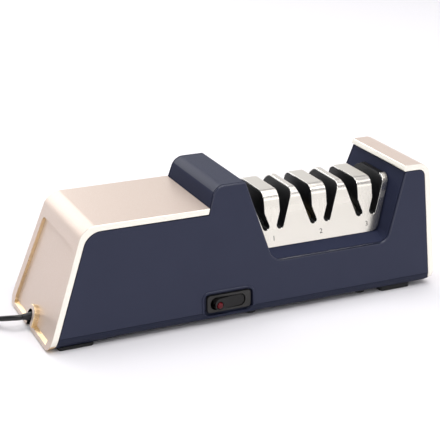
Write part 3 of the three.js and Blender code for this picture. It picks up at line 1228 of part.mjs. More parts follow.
place('main_housing', mainHousing(), NAVY);
place('base_tray', baseTray(), DARK_NAVY);
place('left_end_cover', leftEndCover(), CHAMPAGNE);
place('right_end_cap', rightEndCap(), CHAMPAGNE);
place('steel_head_cover', steelHeadCover(), STEEL);
STAGES.forEach((stage) => {
  const name = CUP_NAMES[stage % CUP_NAMES.length];
  const finish = material(CUP_COLOURS[stage % CUP_COLOURS.length], 0.8);
  place(`${name}_knife_guide`, knifeGuide(stage), BLACK_PLASTIC);
  place(`${name}_cup_left`, abrasiveCup(stage, -1), finish);
  place(`${name}_cup_right`, abrasiveCup(stage, 1), finish);
  place(`${name}_cup_spring`, cupSpring(stage), SHAFT_STEEL);
});
place('spindle', spindle(), SHAFT_STEEL);
place('left_bearing', bearing(LEFT_BEARING_X), SHAFT_STEEL);
place('right_bearing', bearing(RIGHT_BEARING_X), SHAFT_STEEL);
place('left_bearing_bracket', bearingBracket(LEFT_BEARING_X, -1), MOTOR_STEEL);
place('right_bearing_bracket', bearingBracket(RIGHT_BEARING_X, 1), MOTOR_STEEL);
place('motor_can', motorCan(), MOTOR_STEEL);
place('motor_end_bell', motorEndBell(), MOTOR_STEEL);
place('motor_armature', motorArmature(), BRASS);
place('cooling_fan', coolingFan(), BLACK_PLASTIC);
place('shaft_coupling', shaftCoupling(), BLACK_PLASTIC);
place('motor_cradle', motorCradle(), BLACK_PLASTIC);
place('motor_strap', motorStrap(), MOTOR_STEEL);
place('filings_drawer', filingsDrawer(), DARK_NAVY);
place('switch_housing', switchHousing(), BLACK_PLASTIC);
place('switch_rocker', tilted(cut(rockerSolid(), lensSeat())), BLACK_PLASTIC);
place('switch_lens', tilted(rockerLens()), RED_LENS);
[
  ['left', LEFT_END + LEFT_FOOT_RUN, CORNER_PAD_BOTTOM],
  ['right', RIGHT_END - RIGHT_FOOT_RUN, BASE_BOTTOM],
].forEach(([side, x, top]) => {
  place(`foot_front_${side}`, longFoot(x, -1, top), RUBBER);
  place(`foot_rear_${side}`, longFoot(x, 1, top), RUBBER);
});
[VALLEY_MIDDLE - FIRST_MIDDLE_FOOT_RUN, VALLEY_MIDDLE + SECOND_MIDDLE_FOOT_RUN].forEach((x, index) => {
  const y = halfWidth(0) - MIDDLE_FOOT_INSET;
  const foot = (way) => rodZ(MIDDLE_FOOT_RADIUS, 0, BASE_BOTTOM - SEAT_GAP, x, way * y);
  place(`round_foot_front_${index + 1}`, foot(-1), RUBBER);
  place(`round_foot_rear_${index + 1}`, foot(1), RUBBER);
});
SCREW_PLACES.forEach(([where, x, way]) => {
  place(`base_screw_${where}`, baseScrew(x, way), SHAFT_STEEL);
});
place('strain_relief', strainRelief(), RUBBER);
place('cord_clamp', cordClamp(), BLACK_PLASTIC);
place('rectifier_board', rectifierBoard(), BOARD_GREEN);
place('cord_lead', cordStretch(CORD_LEAD_POINTS), RUBBER);
place('cord_coil', cordCoil(), RUBBER);
place('cord_tail', cordStretch(CORD_TAIL_POINTS), RUBBER);
place('plug_body', plugBody(), BLACK_PLASTIC);
place('plug_blade_left', plugBlade(-1), BRASS);
place('plug_blade_right', plugBlade(1), BRASS);

export default part;
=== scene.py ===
"""Looks of an electric knife sharpener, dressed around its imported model.

The frame is the part's own: X runs along the body, the side with the switch faces -Y, and the
floor is Z 0. Sizes are written in millimetres, and a shape is brought to metres when its object
is made.
"""

import json
import logging
import math
from dataclasses import dataclass, field
from enum import Enum
from typing import Any, Callable, Optional, Sequence

import bmesh
import bpy
from mathutils import Matrix, Vector

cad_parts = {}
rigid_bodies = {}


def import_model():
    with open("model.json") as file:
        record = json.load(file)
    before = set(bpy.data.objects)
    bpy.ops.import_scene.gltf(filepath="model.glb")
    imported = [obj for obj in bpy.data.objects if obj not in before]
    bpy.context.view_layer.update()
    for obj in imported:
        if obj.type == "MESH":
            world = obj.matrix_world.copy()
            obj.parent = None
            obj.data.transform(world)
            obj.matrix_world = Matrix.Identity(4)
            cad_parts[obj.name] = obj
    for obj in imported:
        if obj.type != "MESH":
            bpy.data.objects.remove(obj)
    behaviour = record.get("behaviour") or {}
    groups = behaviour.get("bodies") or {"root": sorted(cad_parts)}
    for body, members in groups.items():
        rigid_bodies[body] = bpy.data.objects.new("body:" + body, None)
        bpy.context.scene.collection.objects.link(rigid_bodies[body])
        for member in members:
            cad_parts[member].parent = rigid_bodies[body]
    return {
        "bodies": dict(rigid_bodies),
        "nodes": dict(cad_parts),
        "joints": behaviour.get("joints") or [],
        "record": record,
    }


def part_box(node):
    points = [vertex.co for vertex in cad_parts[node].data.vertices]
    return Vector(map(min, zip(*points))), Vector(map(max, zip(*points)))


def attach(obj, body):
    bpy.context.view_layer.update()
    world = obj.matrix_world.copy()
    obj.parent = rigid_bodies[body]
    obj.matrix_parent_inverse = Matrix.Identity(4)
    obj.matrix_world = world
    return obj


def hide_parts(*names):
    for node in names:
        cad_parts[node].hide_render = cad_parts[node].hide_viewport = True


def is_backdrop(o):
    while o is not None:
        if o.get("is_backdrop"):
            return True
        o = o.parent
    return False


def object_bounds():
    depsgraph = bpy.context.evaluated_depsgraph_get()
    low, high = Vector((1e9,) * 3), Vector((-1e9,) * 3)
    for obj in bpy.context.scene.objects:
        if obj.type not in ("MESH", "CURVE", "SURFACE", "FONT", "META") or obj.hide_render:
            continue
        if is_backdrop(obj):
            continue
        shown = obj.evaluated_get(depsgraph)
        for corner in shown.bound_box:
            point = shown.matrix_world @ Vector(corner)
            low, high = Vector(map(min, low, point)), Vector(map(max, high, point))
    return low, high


LOG = logging.getLogger("sharpener")

MM = 0.001
SHARP_ANGLE = math.radians(30)
FLAT_ANGLE = math.radians(0.3)
WELD_DISTANCE = 1e-4
FILLET_STEPS = 10
OVERRUN = 4.0
SEAT_GAP = 0.3

Corner = Sequence[float]
EdgeTest = Callable[[bmesh.types.BMEdge], bool]
FaceTest = Callable[[bpy.types.MeshPolygon], bool]


class Axis(Enum):
    """The way an outline is run: the rows turn (across, up, along) into (X, Y, Z)."""

    ALONG_X = Matrix(((0, 0, 1), (1, 0, 0), (0, 1, 0)))
    ALONG_Y = Matrix(((1, 0, 0), (0, 0, 1), (0, 1, 0)))
    UP_Z = Matrix(((1, 0, 0), (0, 1, 0), (0, 0, 1)))


class Join(Enum):
    """How two closed shapes are combined."""

    ADD = "UNION"
    CUT = "DIFFERENCE"
    KEEP = "INTERSECT"


class Shape:
    """A closed mesh in millimetres, shaped with bmesh operators."""

    def __init__(self) -> None:
        """Starts with an empty mesh."""
        self.mesh = bmesh.new()

    @classmethod
    def prism(cls, corners: Sequence[Corner], axis: Axis, low: float, high: float) -> "Shape":
        """Runs a filleted outline along an axis.

        Args:
            corners: the outline's corners as (across, up) or (across, up, fillet radius).
            axis: the way the outline is run.
            low: where the run starts.
            high: where the run ends.

        Returns:
            The closed prism.
        """
        shape = cls()
        vertices = [shape.mesh.verts.new((corner[0], corner[1], low)) for corner in corners]
        face = shape.mesh.faces.new(vertices)
        shape._round_corners(vertices, corners)
        grown = bmesh.ops.extrude_face_region(shape.mesh, geom=list(shape.mesh.faces))
        moved = [item for item in grown["geom"] if isinstance(item, bmesh.types.BMVert)]
        bmesh.ops.translate(shape.mesh, verts=moved, vec=(0, 0, high - low))
        bmesh.ops.transform(shape.mesh, matrix=axis.value.to_4x4(), verts=list(shape.mesh.verts))
        return shape.closed()

    @classmethod
    def block(cls, low: Corner, high: Corner) -> "Shape":
        """Makes a plain block.

        Args:
            low: its lowest corner.
            high: its highest corner.

        Returns:
            The closed block.
        """
        shape = cls()
        size = Vector(high) - Vector(low)
        middle = (Vector(high) + Vector(low)) / 2
        bmesh.ops.create_cube(shape.mesh, size=1, matrix=Matrix.LocRotScale(middle, None, size))
        return shape.closed()

    @classmethod
    def turned(cls, profile: Sequence[Corner], axis: Axis, place: Corner, steps: int = 32) -> "Shape":
        """Spins a profile of (radius, along) all the way round an axis.

        Args:
            profile: the points of the profile, open towards the axis where it starts and ends.
            axis: the axis, as the way that an outline would be run.
            place: a point on the axis, where along is zero.
            steps: how many steps the full turn takes.

        Returns:
            The closed turned shape.
        """
        shape = cls()
        vertices = [shape.mesh.verts.new((radius, 0, along)) for radius, along in profile]
        edges = [shape.mesh.edges.new(pair) for pair in zip(vertices, vertices[1:])]
        bmesh.ops.spin(
            shape.mesh, geom=vertices + edges, cent=(0, 0, 0), axis=(0, 0, 1), dvec=(0, 0, 0),
            angle=2 * math.pi, steps=steps, use_merge=True, use_duplicate=False,
        )
        bmesh.ops.remove_doubles(shape.mesh, verts=list(shape.mesh.verts), dist=WELD_DISTANCE)
        turn = Matrix.Translation(Vector(place)) @ axis.value.to_4x4()
        bmesh.ops.transform(shape.mesh, matrix=turn, verts=list(shape.mesh.verts))
        return shape.closed()

    @classmethod
    def of_node(cls, node: bpy.types.Object) -> "Shape":
        """Takes a copy of a CAD node's mesh, with its loose triangles merged.

        Args:
            node: the CAD node's object, which isn't changed.

        Returns:
            The copy in millimetres.
        """
        shape = cls()
        shape.mesh.from_mesh(node.data)
        bmesh.ops.scale(shape.mesh, vec=(1 / MM,) * 3, verts=list(shape.mesh.verts))
        return shape.tidied()

    def _round_corners(self, vertices: Sequence[bmesh.types.BMVert], corners: Sequence[Corner]) -> None:
        """Rounds the corners of a flat outline.

        Args:
            vertices: the outline's vertices.
            corners: the same corners, with a fillet radius where there is one.
        """
        places = [vertex.co.copy() for vertex in vertices]
        for index, (vertex, corner) in enumerate(zip(vertices, corners)):
            radius = corner[2] if len(corner) > 2 else 0
            if radius <= 0:
                continue
            back = places[index - 1] - places[index]
            ahead = places[(index + 1) % len(places)] - places[index]
            run = radius / math.tan(back.angle(ahead) / 2)
            bmesh.ops.bevel(
                self.mesh, geom=[vertex], offset=run, offset_type="OFFSET", segments=FILLET_STEPS,
                profile=0.5, affect="VERTICES", clamp_overlap=False, material=-1,
            )

    def closed(self) -> "Shape":
        """Points every face outwards."""
        bmesh.ops.recalc_face_normals(self.mesh, faces=list(self.mesh.faces))
        return self

    def tidied(self) -> "Shape":
        """Merges doubled vertices and melts edges that lie within a flat face.

        Returns:
            The same shape.
        """
        bmesh.ops.remove_doubles(self.mesh, verts=list(self.mesh.verts), dist=WELD_DISTANCE)
        bmesh.ops.dissolve_limit(
            self.mesh, angle_limit=FLAT_ANGLE, use_dissolve_boundaries=False,
            verts=list(self.mesh.verts), edges=list(self.mesh.edges),
        )
        return self

    def sliced(self, point: Corner, normal: Corner) -> "Shape":
        """Cuts away what lies beyond a plane and closes the cut.

        Args:
            point: a point on the plane.
            normal: the way to the part that is cut away.

        Returns:
            The same shape.
        """
        cut = bmesh.ops.bisect_plane(
            self.mesh, geom=list(self.mesh.verts) + list(self.mesh.edges) + list(self.mesh.faces),
            plane_co=point, plane_no=normal, clear_outer=True, dist=WELD_DISTANCE,
        )
        rim = [item for item in cut["geom_cut"] if isinstance(item, bmesh.types.BMEdge)]
        bmesh.ops.holes_fill(self.mesh, edges=rim, sides=0)
        return self.closed()

    def combined(self, way: Join, *others: "Shape") -> "Shape":
        """Adds, cuts or keeps what other closed shapes hold.

        Args:
            way: how the shapes are combined.
            others: the other shapes, which are used up.

        Returns:
            The same shape.
        """
        body = self._scratch_object()
        tools = [other._scratch_object() for other in others]
        for tool in tools:
            modifier = body.modifiers.new("combine", "BOOLEAN")
            modifier.operation = way.value
            modifier.solver = "EXACT"
            modifier.object = tool
        graph = bpy.context.evaluated_depsgraph_get()
        result = bpy.data.meshes.new_from_object(body.evaluated_get(graph))
        self.mesh.clear()
        self.mesh.from_mesh(result)
        for scratch in [body, *tools]:
            bpy.data.meshes.remove(scratch.data)
        bpy.data.meshes.remove(result)
        return self.tidied()

    def _scratch_object(self) -> bpy.types.Object:
        """Returns an object that holds this mesh while shapes are combined."""
        mesh = bpy.data.meshes.new("scratch")
        self.mesh.to_mesh(mesh)
        scratch = bpy.data.objects.new("scratch", mesh)
        bpy.context.scene.collection.objects.link(scratch)
        return scratch

    def softened(self, width: float, segments: int = 2, where: Optional[EdgeTest] = None) -> "Shape":
        """Rounds the sharp edges.

        Args:
            width: how far the rounding reaches from the edge.
            segments: how many strips the rounding has.
            where: which of the sharp edges are rounded, or None for all of them.

        Returns:
            The same shape.
        """
        chosen = [
            edge for edge in self.mesh.edges
            if len(edge.link_faces) == 2
            and edge.calc_face_angle(0) > SHARP_ANGLE
            and (where is None or where(edge))
        ]
        bmesh.ops.bevel(
            self.mesh, geom=chosen, offset=width, offset_type="OFFSET", segments=segments, profile=0.5,
            affect="EDGES", clamp_overlap=False, loop_slide=True, material=-1,
        )
        return self

    def turned_about(self, place: Corner, angle: float, axis: str = "Z") -> "Shape":
        """Turns the shape about a point.

        Args:
            place: the point it turns about.
            angle: the turn in radians.
            axis: the axis of the turn.

        Returns:
            The same shape.
        """
        bmesh.ops.rotate(
            self.mesh, cent=place, matrix=Matrix.Rotation(angle, 3, axis), verts=list(self.mesh.verts),
        )
        return self

    def to_object(
        self, name: str, finishes: Sequence["Finish"], paint: Sequence[FaceTest] = (),
        sharp: float = SHARP_ANGLE,
    ) -> bpy.types.Object:
        """Makes the object in metres, with smooth fillets and crisp flats.

        Args:
            name: the object's name.
            finishes: the finish of the whole piece, then one for each test in paint.
            paint: tests in millimetres that pick the faces with the finishes after the first.
            sharp: the angle between faces from which their edge is crisp.

        Returns:
            The object, at the origin.
        """
        mesh = bpy.data.meshes.new(name)
        self.mesh.to_mesh(mesh)
        self.mesh.free()
        for finish in finishes:
            mesh.materials.append(finish.material())
        for face in mesh.polygons:
            face.use_smooth = True
            for index, test in enumerate(paint):
                if test(face):
                    face.material_index = index + 1
        mesh.transform(Matrix.Scale(MM, 4))
        mesh.set_sharp_from_angle(angle=sharp)
        piece = bpy.data.objects.new(name, mesh)
        bpy.context.scene.collection.objects.link(piece)
        weights = piece.modifiers.new("crisp flats", "WEIGHTED_NORMAL")
        weights.keep_sharp = True
        return piece


# Small node helper and colours


def srgb(code: str) -> tuple[float, float, float, float]:
    """Turns an sRGB hex colour to linear light.

    Args:
        code: six hex digits.

    Returns:
        The colour with full alpha.
    """
    shares = [int(code[start:start + 2], 16) / 255 for start in (0, 2, 4)]
    linear = [s / 12.92 if s <= 0.04045 else ((s + 0.055) / 1.055) ** 2.4 for s in shares]
    return (*linear, 1.0)


def per_mm(size: float) -> float:
    """The scale of a pattern whose features are that many millimetres apart."""
    return 1 / (size * MM)


def add_node(
    tree: bpy.types.NodeTree, kind: str, inputs: Optional[dict[Any, Any]] = None, **settings: Any,
) -> bpy.types.Node:
    """Adds one node to a tree, with its settings, values and links.

    Args:
        tree: the node tree.
        kind: the node's type name.
        inputs: socket name or number to a value, or to a (node, output) pair to link.
        settings: the node's own properties.

    Returns:
        The node.
    """
    node = tree.nodes.new(kind)
    for name, value in settings.items():
        setattr(node, name, value)
    for socket, value in (inputs or {}).items():
        if isinstance(value, tuple) and isinstance(value[0], bpy.types.Node):
            tree.links.new(value[0].outputs[value[1]], node.inputs[socket])
        else:
            node.inputs[socket].default_value = value
    return node


Source = tuple[bpy.types.Node, str]


@dataclass(frozen=True)
class Finish:
    """What every finish has: a name, a main colour and how it shines."""

    name: str
    colour: str
    roughness: float = 0.5
    metallic: float = 0.0
    ior: float = 1.5
    coat: float = 0.0
    coat_roughness: float = 0.1
    specular: float = 0.5

    def material(self) -> bpy.types.Material:
        """Returns this finish's material, made once."""
        known = bpy.data.materials.get(self.name)
        if known:
            return known
        made = bpy.data.materials.new(self.name)
        made.use_nodes = True
        tree = made.node_tree
        tree.nodes.clear()
        place = add_node(tree, "ShaderNodeTexCoord")
        shader = add_node(tree, "ShaderNodeBsdfPrincipled", {
            "Base Color": srgb(self.colour),
            "Roughness": self.roughness,
            "Metallic": self.metallic,
            "IOR": self.ior,
            "Specular IOR Level": self.specular,
            "Coat Weight": self.coat,
            "Coat Roughness": self.coat_roughness,
        })
        self.detail(tree, (place, "Object"), shader)
        add_node(tree, "ShaderNodeOutputMaterial", {"Surface": (shader, "BSDF")})
        return made

    def detail(self, tree: bpy.types.NodeTree, place: Source, shader: bpy.types.Node) -> None:
        """Adds the finish's own pattern.

        Args:
            tree: the material's node tree.
            place: the coordinates to read, as a node and its output.
            shader: the shader to link to.
        """
        raise NotImplementedError


@dataclass(frozen=True)
class MouldedPlastic(Finish):
    """Injection-moulded plastic from a spark-eroded tool: an even fine grain that kills the gloss."""

    tone: str = "000000"
    # In mm. A real grain of about 0.1 mm is too fine to show, so it is drawn coarser
    grain: float = 0.45
    depth: float = 0.012
    cloud: float = 22.0

    def detail(self, tree: bpy.types.NodeTree, place: Source, shader: bpy.types.Node) -> None:
        """Adds the eroded grain, and a faint drift of tone and gloss.

        Args:
            tree: the material's node tree.
            place: the coordinates to read, as a node and its output.
            shader: the shader to link to.
        """
        cloud = add_node(tree, "ShaderNodeTexNoise", {
            "Vector": place, "Scale": per_mm(self.cloud), "Detail": 3.0,
        })
        tone = add_node(tree, "ShaderNodeMix", {
            0: (cloud, "Fac"), 6: srgb(self.colour), 7: srgb(self.tone),
        }, data_type="RGBA")
        grain = add_node(tree, "ShaderNodeTexNoise", {
            "Vector": place, "Scale": per_mm(self.grain), "Detail": 2.0, "Roughness": 0.6,
        })
        gloss = add_node(tree, "ShaderNodeMapRange", {
            "Value": (grain, "Fac"), "From Min": 0.3, "From Max": 0.7,
            "To Min": self.roughness - 0.05, "To Max": self.roughness + 0.05,
        })
        bump = add_node(tree, "ShaderNodeBump", {
            "Height": (grain, "Fac"), "Strength": 0.6, "Distance": self.depth * MM,
        })
        tree.links.new(tone.outputs[2], shader.inputs["Base Color"])
        tree.links.new(gloss.outputs["Result"], shader.inputs["Roughness"])
        tree.links.new(bump.outputs["Normal"], shader.inputs["Normal"])


@dataclass(frozen=True)
class SatinLacquer(Finish):
    """Champagne metallic lacquer on a moulded cover: fine flake under a soft clear coat."""

    # In mm. Real flake of about 0.05 mm is too fine to show, so it is drawn coarser
    flake: float = 0.35
    flake_colour: str = "ffffff"

    def detail(self, tree: bpy.types.NodeTree, place: Source, shader: bpy.types.Node) -> None:
        """Adds flake as specks of lighter colour, and a slight orange peel.

        Args:
            tree: the material's node tree.
            place: the coordinates to read, as a node and its output.
            shader: the shader to link to.
        """
        flake = add_node(tree, "ShaderNodeTexVoronoi", {"Vector": place, "Scale": per_mm(self.flake)})
        share = add_node(tree, "ShaderNodeMapRange", {
            "Value": (flake, "Color"), "From Min": 0.55, "From Max": 1.0, "To Min": 0.0, "To Max": 0.16,
        })
        tone = add_node(tree, "ShaderNodeMix", {
            0: (share, "Result"), 6: srgb(self.colour), 7: srgb(self.flake_colour),
        }, data_type="RGBA")
        peel = add_node(tree, "ShaderNodeTexNoise", {"Vector": place, "Scale": per_mm(1.4), "Detail": 1.0})
        bump = add_node(tree, "ShaderNodeBump", {
            "Height": (peel, "Fac"), "Strength": 0.25, "Distance": 0.01 * MM,
        })
        tree.links.new(tone.outputs[2], shader.inputs["Base Color"])
        tree.links.new(bump.outputs["Normal"], shader.inputs["Normal"])


@dataclass(frozen=True)
class BrushedMetal(Finish):
    """Brushed sheet: one colour, with fine strokes that run round the bends and rougher, duller parts."""

    # In mm. Real strokes of about 0.05 mm are too fine to show, so they are drawn wider
    stroke: float = 0.22
    run: float = 26.0
    dulling: float = 0.3
    streak: float = 1.6
    wedge_start: float = 23.8
    wedge_pitch: float = 35.4
    wedge_half: tuple[float, float] = (3.0, 9.0)
    wedge_levels: tuple[float, float, float, float] = (49.0, 55.0, 63.0, 69.0)
    band_levels: tuple[float, float, float, float] = (59.0, 63.5, 65.0, 67.5)
    band_share: float = 0.3
    bend_foot: float = 69.5
    bend_share: float = 0.4
    top_level: float = 76.4

    def detail(self, tree: bpy.types.NodeTree, place: Source, shader: bpy.types.Node) -> None:
        """Adds the strokes across X and the duller parts.

        Args:
            tree: the material's node tree.
            place: the coordinates to read, as a node and its output.
            shader: the shader to link to.
        """
        stretched = add_node(tree, "ShaderNodeMapping", {
            "Vector": place, "Scale": (per_mm(self.stroke), per_mm(self.run), per_mm(self.run)),
        })
        strokes = add_node(tree, "ShaderNodeTexNoise", {
            "Vector": (stretched, "Vector"), "Scale": 1.0, "Detail": 4.0, "Roughness": 0.6,
        })
        gloss = add_node(tree, "ShaderNodeMapRange", {
            "Value": (strokes, "Fac"), "From Min": 0.3, "From Max": 0.7,
            "To Min": self.roughness - 0.02, "To Max": self.roughness + 0.02,
        })
        dull = add_node(tree, "ShaderNodeMath", {
            0: self._dull_share(tree, place), 1: self.dulling, 2: (gloss, "Result"),
        }, operation="MULTIPLY_ADD")
        bump = add_node(tree, "ShaderNodeBump", {
            "Height": (strokes, "Fac"), "Strength": 0.05, "Distance": 0.004 * MM,
        })
        tree.links.new(dull.outputs["Value"], shader.inputs["Roughness"])
        tree.links.new(bump.outputs["Normal"], shader.inputs["Normal"])

    def _dull_share(self, tree: bpy.types.NodeTree, place: Source) -> Source:
        """Gives how dull the sheet is: in the wedges between slots, along a soft band, and up the bend.

        Args:
            tree: the material's node tree.
            place: the coordinates to read, as a node and its output.

        Returns:
            The share of the added roughness, as a node and its output.
        """
        parts = add_node(tree, "ShaderNodeSeparateXYZ", {"Vector": place})
        run = add_node(tree, "ShaderNodeMath", {
            0: (parts, "X"), 1: self.wedge_start * MM,
        }, operation="SUBTRACT")
        away = add_node(tree, "ShaderNodeMath", {
            0: (run, "Value"), 1: self.wedge_pitch / 2 * MM,
        }, operation="PINGPONG")
        wedge = add_node(tree, "ShaderNodeMapRange", {
            "Value": (away, "Value"), "From Min": self.wedge_half[0] * MM,
            "From Max": self.wedge_half[1] * MM, "To Min": 1.0, "To Max": 0.0,
        }, interpolation_type="SMOOTHSTEP")
        wide = add_node(tree, "ShaderNodeMapping", {
            "Vector": place, "Scale": (per_mm(self.streak), per_mm(self.run), per_mm(self.run)),
        })
        streaks = add_node(tree, "ShaderNodeTexNoise", {
            "Vector": (wide, "Vector"), "Scale": 1.0, "Detail": 2.0,
        })
        streaked = add_node(tree, "ShaderNodeMapRange", {
            "Value": (streaks, "Fac"), "From Min": 0.4, "From Max": 0.7, "To Min": 0.1, "To Max": 0.75,
        })
        share = self._product(tree, [
            (wedge, "Result"), (streaked, "Result"), *self._between(tree, (parts, "Z"), self.wedge_levels),
        ])
        aside = add_node(tree, "ShaderNodeMath", {
            0: self.band_share, 1: (wedge, "Result"),
        }, operation="SUBTRACT")
        kept = add_node(tree, "ShaderNodeMath", {0: (aside, "Value"), 1: 0.0}, operation="MAXIMUM")
        band = self._product(tree, [
            (kept, "Value"), *self._between(tree, (parts, "Z"), self.band_levels),
        ])
        top = add_node(tree, "ShaderNodeMapRange", {
            "Value": (parts, "Z"), "From Min": self.bend_foot * MM, "From Max": self.top_level * MM,
            "To Min": 0.0, "To Max": self.bend_share,
        })
        return self._sum(tree, [share, band, (top, "Result")])

    def _between(self, tree: bpy.types.NodeTree, height: Source, levels: Sequence[float]) -> list[Source]:
        """Gives two masks whose product is 1 between the two middle levels and 0 outside the outer two.

        Args:
            tree: the material's node tree.
            height: the height to read, as a node and its output.
            levels: the four heights, rising.

        Returns:
            The rising mask and the falling one.
        """
        masks = []
        for low, high, start, end in ((levels[0], levels[1], 0.0, 1.0), (levels[2], levels[3], 1.0, 0.0)):
            mask = add_node(tree, "ShaderNodeMapRange", {
                "Value": height, "From Min": low * MM, "From Max": high * MM, "To Min": start, "To Max": end,
            }, interpolation_type="SMOOTHSTEP")
            masks.append((mask, "Result"))
        return masks

    def _sum(self, tree: bpy.types.NodeTree, terms: Sequence[Source]) -> Source:
        """Adds several shares, up to one.

        Args:
            tree: the material's node tree.
            terms: the shares, each as a node and its output.

        Returns:
            The sum, as a node and its output.
        """
        result = terms[0]
        for term in terms[1:]:
            node = add_node(tree, "ShaderNodeMath", {0: result, 1: term}, operation="ADD", use_clamp=True)
            result = (node, "Value")
        return result

    def _product(self, tree: bpy.types.NodeTree, factors: Sequence[Source]) -> Source:
        """Multiplies several values.

        Args:
            tree: the material's node tree.
            factors: the values, each as a node and its output.

        Returns:
            The product, as a node and its output.
        """
        result = factors[0]
        for factor in factors[1:]:
            node = add_node(tree, "ShaderNodeMath", {0: result, 1: factor}, operation="MULTIPLY")
            result = (node, "Value")
        return result


@dataclass(frozen=True)
class WorkedMetal(Finish):
    """Turned, pressed or plated metal: faint tool marks and a drift in its gloss."""

    # In mm. Real tool marks are finer and wouldn't show, so they are drawn coarser
    mark: float = 0.3
    depth: float = 0.004

    def detail(self, tree: bpy.types.NodeTree, place: Source, shader: bpy.types.Node) -> None:
        """Adds tool marks and an uneven gloss.

        Args:
            tree: the material's node tree.
            place: the coordinates to read, as a node and its output.
            shader: the shader to link to.
        """
        marks = add_node(tree, "ShaderNodeTexNoise", {
            "Vector": place, "Scale": per_mm(self.mark), "Detail": 3.0,
        })
        cloud = add_node(tree, "ShaderNodeTexNoise", {"Vector": place, "Scale": per_mm(6.0), "Detail": 2.0})
        gloss = add_node(tree, "ShaderNodeMapRange", {
            "Value": (cloud, "Fac"), "From Min": 0.3, "From Max": 0.7,
            "To Min": max(0.02, self.roughness - 0.06), "To Max": self.roughness + 0.08,
        })
        bump = add_node(tree, "ShaderNodeBump", {
            "Height": (marks, "Fac"), "Strength": 0.4, "Distance": self.depth * MM,
        })
        tree.links.new(gloss.outputs["Result"], shader.inputs["Roughness"])
        tree.links.new(bump.outputs["Normal"], shader.inputs["Normal"])


@dataclass(frozen=True)
class BondedGrit(Finish):
    """Abrasive grit bonded to a cup: sharp grains of two tones that scatter the light."""

    # In mm. Real grit of about 0.1 mm is too fine to show, so it is drawn coarser
    grit: float = 0.4
    grain_colour: str = "ffffff"

    def detail(self, tree: bpy.types.NodeTree, place: Source, shader: bpy.types.Node) -> None:
        """Adds the grains in colour and height.

        Args:
            tree: the material's node tree.
            place: the coordinates to read, as a node and its output.
            shader: the shader to link to.
        """
        grains = add_node(tree, "ShaderNodeTexVoronoi", {"Vector": place, "Scale": per_mm(self.grit)})
        share = add_node(tree, "ShaderNodeMapRange", {
            "Value": (grains, "Color"), "From Min": 0.4, "From Max": 1.0, "To Min": 0.0, "To Max": 0.7,
        })
        tone = add_node(tree, "ShaderNodeMix", {
            0: (share, "Result"), 6: srgb(self.colour), 7: srgb(self.grain_colour),
        }, data_type="RGBA")
        bump = add_node(tree, "ShaderNodeBump", {
            "Height": (grains, "Distance"), "Strength": 0.9, "Distance": self.grit * 0.3 * MM,
        })
        tree.links.new(tone.outputs[2], shader.inputs["Base Color"])
        tree.links.new(bump.outputs["Normal"], shader.inputs["Normal"])


@dataclass(frozen=True)
class ClearPlastic(Finish):
    """Tinted clear acrylic: light goes some way in, and the surface is as smooth as glass."""

    tone: str = "000000"

    def detail(self, tree: bpy.types.NodeTree, place: Source, shader: bpy.types.Node) -> None:
        """Adds a drift of colour.

        Args:
            tree: the material's node tree.
            place: the coordinates to read, as a node and its output.
            shader: the shader to link to.
        """
        cloud = add_node(tree, "ShaderNodeTexNoise", {"Vector": place, "Scale": per_mm(2.5), "Detail": 1.0})
        tone = add_node(tree, "ShaderNodeMix", {
            0: (cloud, "Fac"), 6: srgb(self.colour), 7: srgb(self.tone),
        }, data_type="RGBA")
        tree.links.new(tone.outputs[2], shader.inputs["Base Color"])


# Finishes of this object, named for what the surface is taken to be

# Grain from the eroded tool scatters the light: an even, soft navy
NAVY_ABS = MouldedPlastic("navy spark-eroded ABS", "2b2f44", 0.5, tone="272b40", specular=0.28)
# The same grain in a deeper navy
DARK_NAVY_ABS = MouldedPlastic("dark navy spark-eroded ABS", "20253a", 0.5, tone="1b2034", specular=0.22)
# The same navy with less gloss, so that the valley stays quiet. The gloss is assumed
MATT_NAVY_ABS = MouldedPlastic("matt navy ABS", "2b2f44", 0.6, tone="272b40", specular=0.06)
# The same navy with more gloss: round edges catch a line of light. The gloss is assumed
GLOSSY_NAVY_ABS = MouldedPlastic("glossier navy ABS edge", "2b2f44", 0.3, tone="272b40", specular=0.5)
# Flake under a clear coat: a warm sheen with a soft sparkle
CHAMPAGNE_LACQUER = SatinLacquer("champagne flake lacquer", "d9c6b9", 0.4, 0.5, coat=0.2, coat_roughness=0.3)
# A smooth coat on the covers' edges, in a colour much paler than the cover: partly a real polished edge,
# partly a painted highlight
POLISHED_EDGE_AND_HIGHLIGHT = SatinLacquer("polished champagne edge and painted highlight", "fdf8ec", 0.2, 0.3, coat=0.6, coat_roughness=0.12)
# Smooth gilt in the pocket and the cord's outlet: a warm, bright wall
GILT_WALL = WorkedMetal("bright champagne gilt", "edd4ac", 0.3, 0.9)
# Strokes that run round the bends: long highlights, softer where the sheet is rougher
BRUSHED_STEEL = BrushedMetal("brushed stainless sheet", "f2ede4", 0.22, 1.0)
# Cut edges without strokes: thin, bright lines
DEBURRED_STEEL = WorkedMetal("deburred stainless edge", "f3f1ee", 0.18, 1.0)
# Nearly black, with a dull sheen
GUIDE_NYLON = MouldedPlastic(
    "black glass-filled nylon", "09090b", 0.42, tone="0e0e11", grain=0.6, specular=0.25)
# A fine grain: a soft black, a little lighter than the guides
SWITCH_NYLON = MouldedPlastic("black switch nylon", "141313", 0.4, tone="191818", grain=0.3, specular=0.3)
# Charcoal, so that the bezel stands off the rocker
BEZEL_NYLON = MouldedPlastic("charcoal bezel nylon", "2b2a29", 0.45, tone="242322", grain=0.3, specular=0.4)
# Tinted through and smooth: a deep red dome
RED_ACRYLIC = ClearPlastic("red clear acrylic", "640c18", 0.1, tone="4c0811", specular=0.25)
# No gloss: the feet stay dark under the body
FOOT_RUBBER = MouldedPlastic("moulded black rubber", "121214", 0.8, tone="1a1a1c", grain=0.8, depth=0.03)
# Smooth and pliable: a narrow sheen along the cord
CORD_PVC = MouldedPlastic("extruded black PVC", "0d0d0f", 0.34, tone="131316", grain=0.9, depth=0.01)
